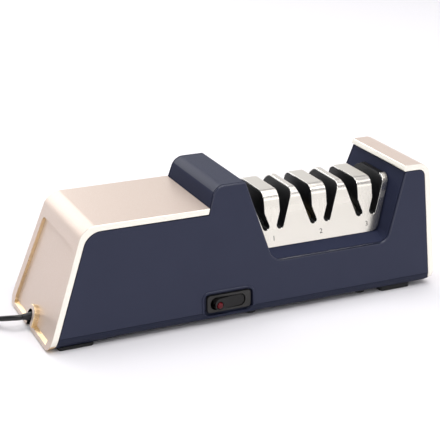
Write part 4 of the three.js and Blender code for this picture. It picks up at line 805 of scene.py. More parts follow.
# Coarse grains: a grey that glitters
COARSE_GRIT = BondedGrit("coarse diamond grit", "6f7276", 0.7, 0.4, grit=0.45, grain_colour="c9ccd0")
# Finer grains: a dull, sandy gold
FINE_GRIT = BondedGrit("fine bonded grit", "b39d72", 0.75, 0.0, grit=0.3, grain_colour="e0cfa4")
# The finest grains: a chalky off-white
POLISHING_GRIT = BondedGrit("ceramic polishing grit", "cfcabd", 0.7, 0.0, grit=0.22, grain_colour="f2efe6")
# Drawn smooth: thin highlights along the turns
SPRING_WIRE = WorkedMetal("hard-drawn spring wire", "a4a6a9", 0.25, 1.0)
# Ground round: a bright, narrow highlight
GROUND_STEEL = WorkedMetal("ground steel bar", "b3b5b8", 0.22, 1.0)
# Stamped and plated: a cool, uneven grey
ZINC_PLATE = WorkedMetal("zinc-plated pressing", "a8acb0", 0.38, 1.0, mark=0.8)
# Lacquer over copper: warm and half shiny
ARMATURE_LACQUER = WorkedMetal("lacquered core and copper", "a9683a", 0.4, 0.8)
# Phosphate: a dull grey black
BLACK_SCREW = WorkedMetal("black phosphate screw", "3a3b3d", 0.45, 0.9)
# Solder mask: a smooth green
BOARD_LAMINATE = MouldedPlastic("green solder mask laminate", "2c5a38", 0.35, tone="244c30", grain=1.2)
# Nickel plate: a bright grey with a little warmth
PLUG_BRASS = WorkedMetal("nickel-plated brass blade", "cfcbc0", 0.22, 1.0)
# Thin flat ink: grey, without gloss
PRINT_INK = MouldedPlastic("grey pad-print ink", "4a4845", 0.7, tone="504e4b", grain=0.3, specular=0.2)
# Woven tape: black, without gloss
TIE_FABRIC = MouldedPlastic("woven hook-and-loop tape", "17171a", 0.9, tone="202024", grain=0.7, depth=0.08)


def settle(piece: bpy.types.Object, body: str, nodes: Sequence[str] = ()) -> bpy.types.Object:
    """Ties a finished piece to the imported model.

    Args:
        piece: the object, in place.
        body: the CAD body that it rides on.
        nodes: the CAD nodes that it stands for.

    Returns:
        The same piece.
    """
    if nodes:
        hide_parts(*nodes)
    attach(piece, body)
    LOG.info("%s rides on %s", piece.name, body)
    return piece


@dataclass(frozen=True)
class SlopingLine:
    """A straight edge of the body, seen from the front."""

    foot: float
    slope: float
    side: int

    def at(self, height: float, inset: float = 0.0) -> float:
        """X of the line at a height, moved into the material by an inset."""
        return self.foot + self.slope * height + self.side * inset * math.hypot(1, self.slope)


@dataclass(frozen=True)
class BodyForm:
    """The lines that the housing and its covers share."""

    end: SlopingLine = SlopingLine(-139.5142, 0.357, 1)
    right: SlopingLine = SlopingLine(139.7838, -0.041, -1)
    hump: SlopingLine = SlopingLine(-48.6, 0.28, 1)
    valley_left: SlopingLine = SlopingLine(27.765, -0.325, -1)
    valley_right: SlopingLine = SlopingLine(90.635, 0.325, 1)
    floor_half_width: float = 44.9
    side_draft: float = 0.11
    shoulder_height: float = 77.5
    shoulder_radius: float = 12.0
    hump_height: float = 91.2
    hump_radius: float = 8.0
    tower_height: float = 87.1
    tower_radius: float = 9.0
    skirt_radius: float = 8.0
    base_bottom: float = 3.8
    cover_bottom: float = 0.6
    cap_bottom: float = 5.9
    cover_wall: float = 3.9
    cap_wall: float = 4.2
    shell_wall: float = 2.5
    housing_bottom: float = 9.35
    ledge_height: float = 36.2
    valley_radius: float = 9.0
    edge_radius: float = 9.0
    length: float = 300.0

    def half_width(self, height: float, inset: float = 0.0) -> float:
        """Half the body's width at a height, moved in by an inset."""
        return self.floor_half_width - self.side_draft * height - inset * math.hypot(1, self.side_draft)

    def between_sides(self, shape: Shape, inset: float = 0.0) -> Shape:
        """Cuts a shape by the leaning front and back.

        Args:
            shape: the shape to cut.
            inset: how far inside the body's sides the cut lies.

        Returns:
            The same shape.
        """
        for way in (-1, 1):
            shape.sliced((0, way * self.half_width(0, inset), 0), (0, way, self.side_draft))
        return shape

    def rounded_section(self) -> Shape:
        """The body from end to end between its sides, with its two lower edges rounded.

        Returns:
            The closed body.
        """
        low, high = self.cover_bottom, self.hump_height + OVERRUN
        return Shape.prism([
            (-self.half_width(low), low, self.edge_radius), (self.half_width(low), low, self.edge_radius),
            (self.half_width(high), high), (-self.half_width(high), high),
        ], Axis.ALONG_X, -self.length, self.length)

    def depth_in_side(self, across: float, height: float) -> float:
        """How far a point lies inside the front or the back, with the rounded lower edge.

        Args:
            across: the point's Y.
            height: its Z.

        Returns:
            The depth, zero on the skin.
        """
        lean = math.atan(self.side_draft)
        run = self.edge_radius / math.tan((math.pi / 2 - lean) / 2)
        middle = Vector((self.half_width(self.cover_bottom) - run, self.cover_bottom + self.edge_radius))
        if height > self.cover_bottom + run * math.cos(lean):
            return (self.half_width(height) - abs(across)) * math.cos(lean)
        return self.edge_radius - (Vector((abs(across), height)) - middle).length

    def on_side(self, edge: bmesh.types.BMEdge) -> bool:
        """Whether an edge lies in the skin of the front or back."""
        return all(abs(self.depth_in_side(v.co.y, v.co.z)) < 0.05 for v in edge.verts)


FORM = BodyForm()


def middle_of(edge: bmesh.types.BMEdge) -> Vector:
    """The middle of an edge."""
    return (edge.verts[0].co + edge.verts[1].co) / 2


@dataclass
class Studio:
    """Camera, floor and soft light, for the photograph's view."""

    camera_place: Corner = (-0.33171, -0.72264, 0.35005)
    azimuth: float = -24.385
    elevation: float = 20.462
    roll: float = 0.304
    lens: float = 103.42
    sensor: float = 36.0
    floor_size: float = 12.0
    floor_colour: str = "ebe9ed"
    ambient: float = 0.62
    ceiling_colour: str = "6f6e75"
    aim: Corner = (0.0, 0.0, 0.05)

    def build(self) -> None:
        """Makes the camera, the floor, the world and the lamps."""
        self._camera()
        self._floor()
        self._world()
        self._lamp("overhead softbox", (0.1, 0.25, 1.5), (1.1, 1.1), 11.5)
        self._lamp("strip light", (0.2, -0.72, 1.45), (1.4, 0.18), 7.5)
        self._lamp("front softbox", (0.5, -1.5, 0.9), (0.9, 0.9), 2.5)
        self._lamp("back softbox", (-0.28, 1.7, 0.75), (1.2, 1.2), 9.5)
        scene = bpy.context.scene
        scene.view_settings.view_transform = "Standard"

    def _camera(self) -> None:
        """Sets the camera where the photograph was taken from."""
        data = bpy.data.cameras.new("camera")
        data.lens = self.lens
        data.sensor_width = self.sensor
        camera = bpy.data.objects.new("camera", data)
        turn, lift, roll = (math.radians(angle) for angle in (self.azimuth, self.elevation, self.roll))
        back = Vector((math.sin(turn) * math.cos(lift), -math.cos(turn) * math.cos(lift), math.sin(lift)))
        level = Vector((math.cos(turn), math.sin(turn), 0))
        up = back.cross(level)
        right = level * math.cos(roll) + up * math.sin(roll)
        camera.location = self.camera_place
        camera.rotation_euler = Matrix((right, back.cross(right), back)).transposed().to_euler()
        bpy.context.scene.collection.objects.link(camera)
        bpy.context.scene.camera = camera

    def _floor(self) -> None:
        """Lays a plain pale floor under the object."""
        mesh = bpy.data.meshes.new("floor")
        grid = bmesh.new()
        bmesh.ops.create_grid(grid, x_segments=1, y_segments=1, size=self.floor_size / 2)
        grid.to_mesh(mesh)
        grid.free()
        floor = bpy.data.objects.new("floor", mesh)
        bpy.context.scene.collection.objects.link(floor)
        paper = bpy.data.materials.new("matt paper floor")
        paper.use_nodes = True
        tree = paper.node_tree
        tree.nodes.clear()
        shade = add_node(tree, "ShaderNodeBsdfDiffuse", {"Color": srgb(self.floor_colour)})
        add_node(tree, "ShaderNodeOutputMaterial", {"Surface": (shade, "BSDF")})
        mesh.materials.append(paper)
        floor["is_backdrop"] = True

    def _world(self) -> None:
        """Gives an even pale light, and a white background to what looks at it directly."""
        world = bpy.data.worlds.new("studio")
        bpy.context.scene.world = world
        world.use_nodes = True
        tree = world.node_tree
        tree.nodes.clear()
        rays = add_node(tree, "ShaderNodeLightPath")
        seen = add_node(tree, "ShaderNodeMath", {
            0: (rays, "Is Camera Ray"), 1: (rays, "Is Glossy Ray"),
        }, operation="MAXIMUM")
        shown = add_node(tree, "ShaderNodeMath", {
            0: (seen, "Value"), 1: (rays, "Is Transmission Ray"),
        }, operation="MAXIMUM")
        place = add_node(tree, "ShaderNodeTexCoord")
        way = add_node(tree, "ShaderNodeSeparateXYZ", {"Vector": (place, "Generated")})
        height = add_node(tree, "ShaderNodeMapRange", {
            "Value": (way, "Z"), "From Min": 0.36, "From Max": 0.52, "To Min": 0.0, "To Max": 1.0,
        }, interpolation_type="SMOOTHSTEP")
        mirrored = add_node(tree, "ShaderNodeMath", {
            0: (height, "Result"), 1: (rays, "Is Glossy Ray"),
        }, operation="MULTIPLY")
        studio = add_node(tree, "ShaderNodeMix", {
            0: (mirrored, "Value"), 6: (1, 1, 1, 1), 7: srgb(self.ceiling_colour),
        }, data_type="RGBA")
        light = add_node(tree, "ShaderNodeBackground", {"Color": (1, 1, 1, 1), "Strength": self.ambient})
        white = add_node(tree, "ShaderNodeBackground", {"Color": (studio, 2), "Strength": 1.0})
        mix = add_node(tree, "ShaderNodeMixShader", {
            0: (shown, "Value"), 1: (light, "Background"), 2: (white, "Background"),
        })
        add_node(tree, "ShaderNodeOutputWorld", {"Surface": (mix, "Shader")})

    def _lamp(self, name: str, place: Corner, size: tuple[float, float], power: float) -> None:
        """Adds a softbox that faces the object.

        Args:
            name: the lamp's name.
            place: where it stands, in metres.
            size: its width and height in metres.
            power: its power in watts.
        """
        data = bpy.data.lights.new(name, "AREA")
        data.shape = "RECTANGLE"
        data.size, data.size_y = size
        data.energy = power
        lamp = bpy.data.objects.new(name, data)
        lamp.location = place
        lamp.rotation_euler = (Vector(self.aim) - Vector(place)).to_track_quat("-Z", "Y").to_euler()
        bpy.context.scene.collection.objects.link(lamp)


@dataclass
class CordSet:
    """The mains cord with its strain relief, its coil, the tie that holds it and the plug."""

    diameter: float = 3.6
    relief_inner: float = -112.0
    relief_shoulder: float = -133.5
    relief_neck: float = -136.5
    relief_tip: float = -143.0
    relief_radius: float = 4.2
    relief_tip_radius: float = 2.0
    exit_height: float = 8.3
    rib_pitch: float = 2.6
    rib_groove: float = 0.45
    coil_middle: Corner = (-193.1, 24.5)
    coil_turns: float = 4.0
    coil_pitch: float = 4.1
    coil_outer: float = 28.7
    coil_climb: float = 0.5
    coil_start: float = 11.5
    coil_end: float = 150.0
    coil_steps: int = 24
    length: float = 1.1
    tie_angle: float = -75.0
    tie_width: float = 7.0
    tie_thickness: float = 0.5
    plug_x: float = -226.0
    plug_shoulder: float = -12.0
    plug_nose: float = -34.0
    plug_width: float = 24.0
    plug_height: float = 13.6
    plug_nose_width: float = 17.0
    plug_corner: float = 3.0
    plug_relief_start: float = 2.0
    plug_relief_radius: float = 4.4
    plug_relief_tip: float = 2.4
    blade_spacing: float = 12.7
    blade_length: float = 17.0
    blade_width: float = 6.3
    blade_thickness: float = 1.5
    blade_hole: float = 1.7
    lead: Sequence[Corner] = (
        (-143.3, 0, 8.3), (-145.2, 0.15, 8.3), (-147.1, 0.7, 8.25), (-148.9, 1.65, 8.05), (-150.6, 2.9, 7.7),
        (-152.2, 4.4, 7.25), (-153.7, 6.1, 6.7), (-155.1, 8, 6.05), (-156.4, 10, 5.3), (-157.7, 12.1, 4.5),
        (-158.9, 14.2, 3.7), (-160.1, 16.4, 2.95), (-161.2, 18.6, 2.35), (-162.2, 20.8, 1.95),
        (-163.1, 23, 1.8), (-163.8, 24.9, 1.8), (-164.2, 26.4, 1.8),
    )
    tail: Sequence[Corner] = (
        (-219.5, 35.2, 5.9), (-220.6, 33.3, 5.75), (-221.6, 31.3, 5.3), (-222.5, 29.3, 4.7),
        (-223.3, 27.2, 4.05), (-224, 25.1, 3.45), (-224.6, 22.9, 3), (-225.1, 20.7, 2.7),
        (-225.5, 18.5, 2.65),
        (-225.75, 16.3, 2.9), (-225.9, 14.1, 3.5), (-225.97, 11.9, 4.3), (-226, 9.7, 5.15), (-226, 7.7, 5.95),
        (-226, 5.9, 6.5), (-226, 4.1, 6.75), (-226, 2.3, 6.8),
    )

    def build(self) -> None:
        relief = self._strain_relief()
        tie = self._tie()
        plug = self._plug()
        blades = [self._blade(-1, "left"), self._blade(1, "right")]
        curve = self._curve()
        settle(curve, "root", ["cord_lead", "cord_coil", "cord_tail"])

    def _coil_points(self) -> list[Corner]:
        """Returns the coil's points: inwards on the floor, up a layer, and outwards again."""
        low_turns = self.coil_turns - self.coil_climb
        turn_back = self.coil_turns - self.coil_climb / 2
        total = 2 * self.coil_turns - 1 + (self.coil_end - self.coil_start) / 360
        steps = round(total * self.coil_steps)
        points = []
        for step in range(steps + 1):
            turn = total * step / steps
            radius = self.coil_outer - self.coil_pitch * (min(turn, turn_back) - max(0.0, turn - turn_back))
            angle = math.radians(self.coil_start) + turn * 2 * math.pi
            share = min(max((turn - low_turns) / self.coil_climb, 0.0), 1.0)
            points.append((
                self.coil_middle[0] + radius * math.cos(angle),
                self.coil_middle[1] + radius * math.sin(angle),
                self.diameter / 2 + self.coil_pitch * share * share * (3 - 2 * share),
            ))
        return points

    def _curve(self) -> bpy.types.Object:
        """Returns the cord as one open curve through its whole route."""
        data = bpy.data.curves.new("mains_cord", "CURVE")
        data.dimensions = "3D"
        data.bevel_depth = self.diameter / 2 * MM
        data.bevel_resolution = 3
        data.resolution_u = 4
        data.use_fill_caps = True
        route = [*self.lead, *self._coil_points(), *self.tail]
        spline = data.splines.new("BEZIER")
        spline.bezier_points.add(len(route) - 1)
        for point, place in zip(spline.bezier_points, route):
            point.co = Vector(place) * MM
            point.handle_left_type = "AUTO"
            point.handle_right_type = "AUTO"
        data.materials.append(CORD_PVC.material())
        cord = bpy.data.objects.new("mains_cord", data)
        bpy.context.scene.collection.objects.link(cord)
        return cord

    def _strain_relief(self) -> bpy.types.Object:
        """Returns the relief: grooved inside the body and a smooth taper outside."""
        profile = [(0, self.relief_inner), (self.relief_radius, self.relief_inner)]
        ribs = int((self.relief_inner - self.relief_shoulder) / self.rib_pitch) - 1
        for rib in range(ribs):
            along = self.relief_inner - (rib + 1) * self.rib_pitch
            profile += [
                (self.relief_radius, along + self.rib_pitch * 0.3),
                (self.relief_radius - self.rib_groove, along + self.rib_pitch * 0.1),
                (self.relief_radius - self.rib_groove, along - self.rib_pitch * 0.1),
                (self.relief_radius, along - self.rib_pitch * 0.3),
            ]
        profile += [
            (self.relief_radius, self.relief_shoulder),
            (self.relief_tip_radius + 0.5, self.relief_neck), (self.relief_tip_radius, self.relief_tip + 0.6),
            (self.relief_tip_radius - 0.1, self.relief_tip), (0, self.relief_tip),
        ]
        shape = Shape.turned(profile, Axis.ALONG_X, (0, 0, self.exit_height), 32)
        piece = shape.to_object("strain_relief_sleeve", [CORD_PVC])
        return settle(piece, "root", ["strain_relief"])

    def _tie(self) -> bpy.types.Object:
        """Returns the tape that holds the coil, wrapped round its bundle."""
        inner = self.coil_outer - self.coil_pitch * (self.coil_turns - 0.5)
        low = inner - self.diameter / 2 - 0.4
        high = self.coil_outer + self.diameter / 2 + 0.4
        top = self.diameter + self.coil_pitch + 0.3
        corner = self.diameter / 2
        tape = self.tie_thickness
        half = self.tie_width / 2
        outside = Shape.prism([
            (low - tape, 0, corner), (high + tape, 0, corner),
            (high + tape, top + tape, corner + tape), (low - tape, top + tape, corner + tape),
        ], Axis.ALONG_Y, -half, half)
        inside = Shape.prism([
            (low, tape * 0.4, corner - tape * 0.4), (high, tape * 0.4, corner - tape * 0.4),
            (high, top, corner), (low, top, corner),
        ], Axis.ALONG_Y, -half - OVERRUN, half + OVERRUN)
        overlap = Shape.block(
            (low + 4, -half + 0.4, top + tape * 0.5), (high - 3, half - 0.4, top + tape * 1.9))
        shape = outside.combined(Join.CUT, inside).combined(Join.ADD, overlap).softened(0.15, 1)
        turn = Matrix.Rotation(math.radians(self.tie_angle), 4, "Z")
        place = Matrix.Translation((*self.coil_middle, 0)) @ turn
        bmesh.ops.transform(shape.mesh, matrix=place, verts=list(shape.mesh.verts))
        piece = shape.to_object("coil_tie", [TIE_FABRIC])
        return settle(piece, "root")

    def _plug(self) -> bpy.types.Object:
        """Returns the moulded plug with its ribbed relief and grip ridges."""
        half = self.plug_width / 2
        nose_half = self.plug_nose_width / 2
        body = Shape.prism([
            (self.plug_x - half, self.plug_nose, self.plug_corner / 2),
            (self.plug_x + half, self.plug_nose, self.plug_corner / 2),
            (self.plug_x + nose_half, self.plug_shoulder, self.plug_corner),
            (self.plug_x - nose_half, self.plug_shoulder, self.plug_corner),
        ], Axis.UP_Z, 0, self.plug_height).softened(1.6, 4)
        grooves = []
        for row in range(4):
            y = self.plug_shoulder - 6.0 - row * 3.2
            for way in (-1, 1):
                side = self.plug_x + way * (nose_half + (half - nose_half) * (self.plug_shoulder - y) / 22.0)
                grooves.append(Shape.block(
                    (side - 0.7, y - 0.6, 3), (side + 0.7, y + 0.6, self.plug_height - 3)))
        body.combined(Join.CUT, *grooves)
        profile = [(0, self.plug_relief_start), (self.plug_relief_tip, self.plug_relief_start)]
        run = self.plug_relief_start - self.plug_shoulder
        for rib in range(5):
            share = (rib + 0.5) / 5
            along = self.plug_relief_start - run * share
            radius = self.plug_relief_tip + (self.plug_relief_radius - self.plug_relief_tip) * share
            profile += [
                (radius, along + 0.8), (radius - 0.5, along + 0.3),
                (radius - 0.5, along - 0.5), (radius + 0.1, along - 1.0),
            ]
        profile += [(self.plug_relief_radius, self.plug_shoulder - 3), (0, self.plug_shoulder - 3)]
        relief = Shape.turned(profile, Axis.ALONG_Y, (self.plug_x, 0, self.plug_height / 2), 24)
        body.combined(Join.ADD, relief)
        piece = body.to_object("plug_moulding", [CORD_PVC])
        return settle(piece, "root", ["plug_body"])

    def _blade(self, way: int, side: str) -> bpy.types.Object:
        """Makes one blade of the plug.

        Args:
            way: which side of the plug it stands on.
            side: that side in words.

        Returns:
            The blade, with its locking hole and eased tip.
        """
        x = self.plug_x + way * self.blade_spacing / 2
        middle = self.plug_height / 2
        start = self.plug_nose - SEAT_GAP
        half = self.blade_width / 2
        shape = Shape.prism([
            (start, middle - half), (start - self.blade_length, middle - half, 1.2),
            (start - self.blade_length, middle + half, 1.2), (start, middle + half),
        ], Axis.ALONG_X, x - self.blade_thickness / 2, x + self.blade_thickness / 2)
        hole = Shape.turned(
            [(0, -OVERRUN), (self.blade_hole, -OVERRUN), (self.blade_hole, OVERRUN), (0, OVERRUN)],
            Axis.ALONG_X, (x, start - self.blade_length * 0.7, middle), 16,
        )
        shape.combined(Join.CUT, hole).softened(0.2, 1)
        piece = shape.to_object(f"plug_contact_{side}", [PLUG_BRASS])
        return settle(piece, "root", [f"plug_blade_{side}"])


@dataclass
class Housing:
    """The navy housing: a shell with its hump, its valley for the head, and the tower."""

    seat_in_cover: float = FORM.cover_wall + SEAT_GAP
    seat_in_cap: float = FORM.cap_wall + SEAT_GAP
    hump_edge_radius: float = 1.0
    deck_height: float = 39.4
    deck_half_width: float = 27.2
    deck_wall: float = 2.5
    deck_opening_half_width: float = 21.4
    deck_opening: Corner = (9.7, 108.7)
    deck_opening_top: float = 44.5
    open_edge: float = 0.9
    seam_edge: float = 0.25
    surround_edge: float = 0.6
    parting_in: float = 1.35
    parting_width: float = 0.7
    parting_depth: float = 0.9

    def outline(self, inset: float, bottom: float) -> list[Corner]:
        """Gives the housing's outline from the front.

        Args:
            inset: how far inside the outer skin it lies.
            bottom: the height of its lower edge.

        Returns:
            The corners with their fillets.
        """
        tower = FORM.tower_height - FORM.cap_wall - SEAT_GAP - inset
        ledge = FORM.ledge_height - inset
        hump = FORM.hump_height - inset
        shoulder = FORM.shoulder_height - FORM.cover_wall - SEAT_GAP - inset
        cover, cap = self.seat_in_cover + inset, self.seat_in_cap + inset
        return [
            (FORM.end.at(bottom, cover), bottom),
            (FORM.right.at(bottom, cap), bottom),
            (FORM.right.at(tower, cap), tower, max(FORM.tower_radius - cap, 0.5)),
            (FORM.valley_right.at(tower, inset), tower),
            (FORM.valley_right.at(ledge, inset), ledge, FORM.valley_radius + inset),
            (FORM.valley_left.at(ledge, inset), ledge, FORM.valley_radius + inset),
            (FORM.valley_left.at(hump, inset), hump, self.hump_edge_radius),
            (FORM.hump.at(hump, inset), hump, FORM.hump_radius - inset),
            (FORM.hump.at(shoulder, inset), shoulder),
            (FORM.end.at(shoulder, cover), shoulder, FORM.shoulder_radius - SEAT_GAP - inset),
        ]

    def build(self, switch: "RockerSwitch", drawer: "FilingsDrawer") -> None:
        """Makes the housing.

        Args:
            switch: the switch whose recess is cut.
            drawer: the drawer whose way out is cut.
        """
        wide = 2 * FORM.floor_half_width
        shape = Shape.prism(self.outline(0, FORM.housing_bottom), Axis.ALONG_Y, -wide, wide)
        shape = FORM.between_sides(shape.combined(Join.ADD, self._deck()))
        shape.softened(self.open_edge, 3, self._is_open_edge)
        shape.softened(self.seam_edge, 1, self._is_seam_edge)
        inside = FORM.between_sides(
            Shape.prism(self.outline(FORM.shell_wall, -OVERRUN), Axis.ALONG_Y, -wide, wide), FORM.shell_wall)
        inside.combined(Join.CUT, self._deck())
        shape.combined(Join.CUT, inside, self._parting(-1), self._parting(1))
        shape.combined(Join.ADD, switch.panel(FORM.housing_bottom + SEAT_GAP), switch.rim())
        half = self.deck_opening_half_width
        opening = Shape.block(
            (self.deck_opening[0], -half, FORM.ledge_height - self.deck_wall - OVERRUN),
            (self.deck_opening[1], half, self.deck_opening_top))
        shape.combined(Join.CUT, opening, switch.recess(), switch.hole(), drawer.way_out())
        shape.combined(Join.CUT, relief_bore())
        shape.softened(self.surround_edge, 3, switch.is_rim_edge)
        piece = shape.to_object(
            "housing_shell", [NAVY_ABS, MATT_NAVY_ABS, GLOSSY_NAVY_ABS, GLOSSY_NAVY_ABS],
            [self._is_matt, self._is_glossy_edge, switch.is_rim_face])
        settle(piece, "root", ["main_housing"])

    def _deck(self) -> Shape:
        """Returns the deck that rises from the ledge's front edge to the head's seat."""
        edge = FORM.half_width(FORM.ledge_height) + SEAT_GAP
        low = FORM.ledge_height - self.deck_wall
        rise = (self.deck_height - FORM.ledge_height) / (edge - self.deck_half_width)
        out = edge + OVERRUN
        foot = FORM.ledge_height - rise * OVERRUN
        section = Shape.prism([
            (-out, low), (out, low), (out, foot), (self.deck_half_width, self.deck_height),
            (-self.deck_half_width, self.deck_height), (-out, foot),
        ], Axis.ALONG_X, -FORM.length, FORM.length)
        inset = FORM.shell_wall / 2
        span = Shape.prism([
            (FORM.valley_left.at(FORM.ledge_height, inset), low),
            (FORM.valley_right.at(FORM.ledge_height, inset), low),
            (FORM.valley_right.at(self.deck_height, inset), self.deck_height + OVERRUN),
            (FORM.valley_left.at(self.deck_height, inset), self.deck_height + OVERRUN),
        ], Axis.ALONG_Y, -2 * FORM.floor_half_width, 2 * FORM.floor_half_width)
        return section.combined(Join.KEEP, span)

    def _parting(self, way: int) -> Shape:
        """Gives the groove where the side panel meets the rest of the moulding.

        Args:
            way: which side it runs along.

        Returns:
            The groove, to be cut out.
        """
        wide = 2 * FORM.floor_half_width
        low = FORM.shoulder_height - FORM.cover_wall
        groove = Shape.prism(self.outline(-1.0, FORM.housing_bottom), Axis.ALONG_Y, -wide, wide)
        core = Shape.prism(self.outline(self.parting_depth, -OVERRUN), Axis.ALONG_Y, -wide - 1, wide + 1)
        groove.combined(Join.CUT, core)
        for inset, turn in ((self.parting_in, 1), (self.parting_in + self.parting_width, -1)):
            place = (0, way * FORM.half_width(0, inset), 0)
            groove.sliced(place, (0, turn * way, turn * FORM.side_draft))
        left = FORM.hump.at(low)
        return groove.combined(
            Join.KEEP, Shape.block((left, -wide, FORM.ledge_height - 3), (FORM.length, wide, 100)))

    def _is_matt(self, face: bpy.types.MeshPolygon) -> bool:
        """Whether a face is in the valley or the hump's slant, which are taken to have less gloss.

        Args:
            face: the face to test.

        Returns:
            True for such a face.
        """
        place = face.center
        left, right = FORM.valley_left.at(place.z) - 0.6, FORM.valley_right.at(place.z) + 0.6
        valley = left < place.x < right and place.z > FORM.ledge_height - 2 and abs(face.normal.y) < 0.5
        return valley or (face.normal.x < -0.85 and place.z > FORM.shoulder_height - FORM.cover_wall)

    def _is_glossy_edge(self, face: bpy.types.MeshPolygon) -> bool:
        """Whether a face belongs to the rounded edge round the hump and the valley, taken as glossier.

        Args:
            face: the face to test.

        Returns:
            True for such a face.
        """
        place = face.center
        right = FORM.valley_right.at(place.z) + 1.2
        left = FORM.hump.at(place.z) - 1.2
        around = place.z > FORM.ledge_height - 1.2 and left < place.x < right
        return around and 0.2 < abs(face.normal.y) < 0.985 and FORM.depth_in_side(place.y, place.z) < 0.9

    def _is_open_edge(self, edge: bmesh.types.BMEdge) -> bool:
        """Whether an edge of the front or back stands free, round the hump and the valley.

        Args:
            edge: the edge to test.

        Returns:
            True for such an edge.
        """
        place = middle_of(edge)
        right = FORM.valley_right.at(place.z) + 0.4
        left = FORM.hump.at(place.z) - 0.4
        return FORM.on_side(edge) and place.z > FORM.ledge_height - 1 and left < place.x < right

    def _is_seam_edge(self, edge: bmesh.types.BMEdge) -> bool:
        """Whether an edge of the front or back meets a cover or the base."""
        return FORM.on_side(edge) and not self._is_open_edge(edge)


def relief_bore() -> Shape:
    """The round way through the shells for the strain relief."""
    profile = [(0, -139.5), (4.6, -139.5), (4.6, -110.0), (0, -110.0)]
    return Shape.turned(profile, Axis.ALONG_X, (0, 0, 8.3), 24)


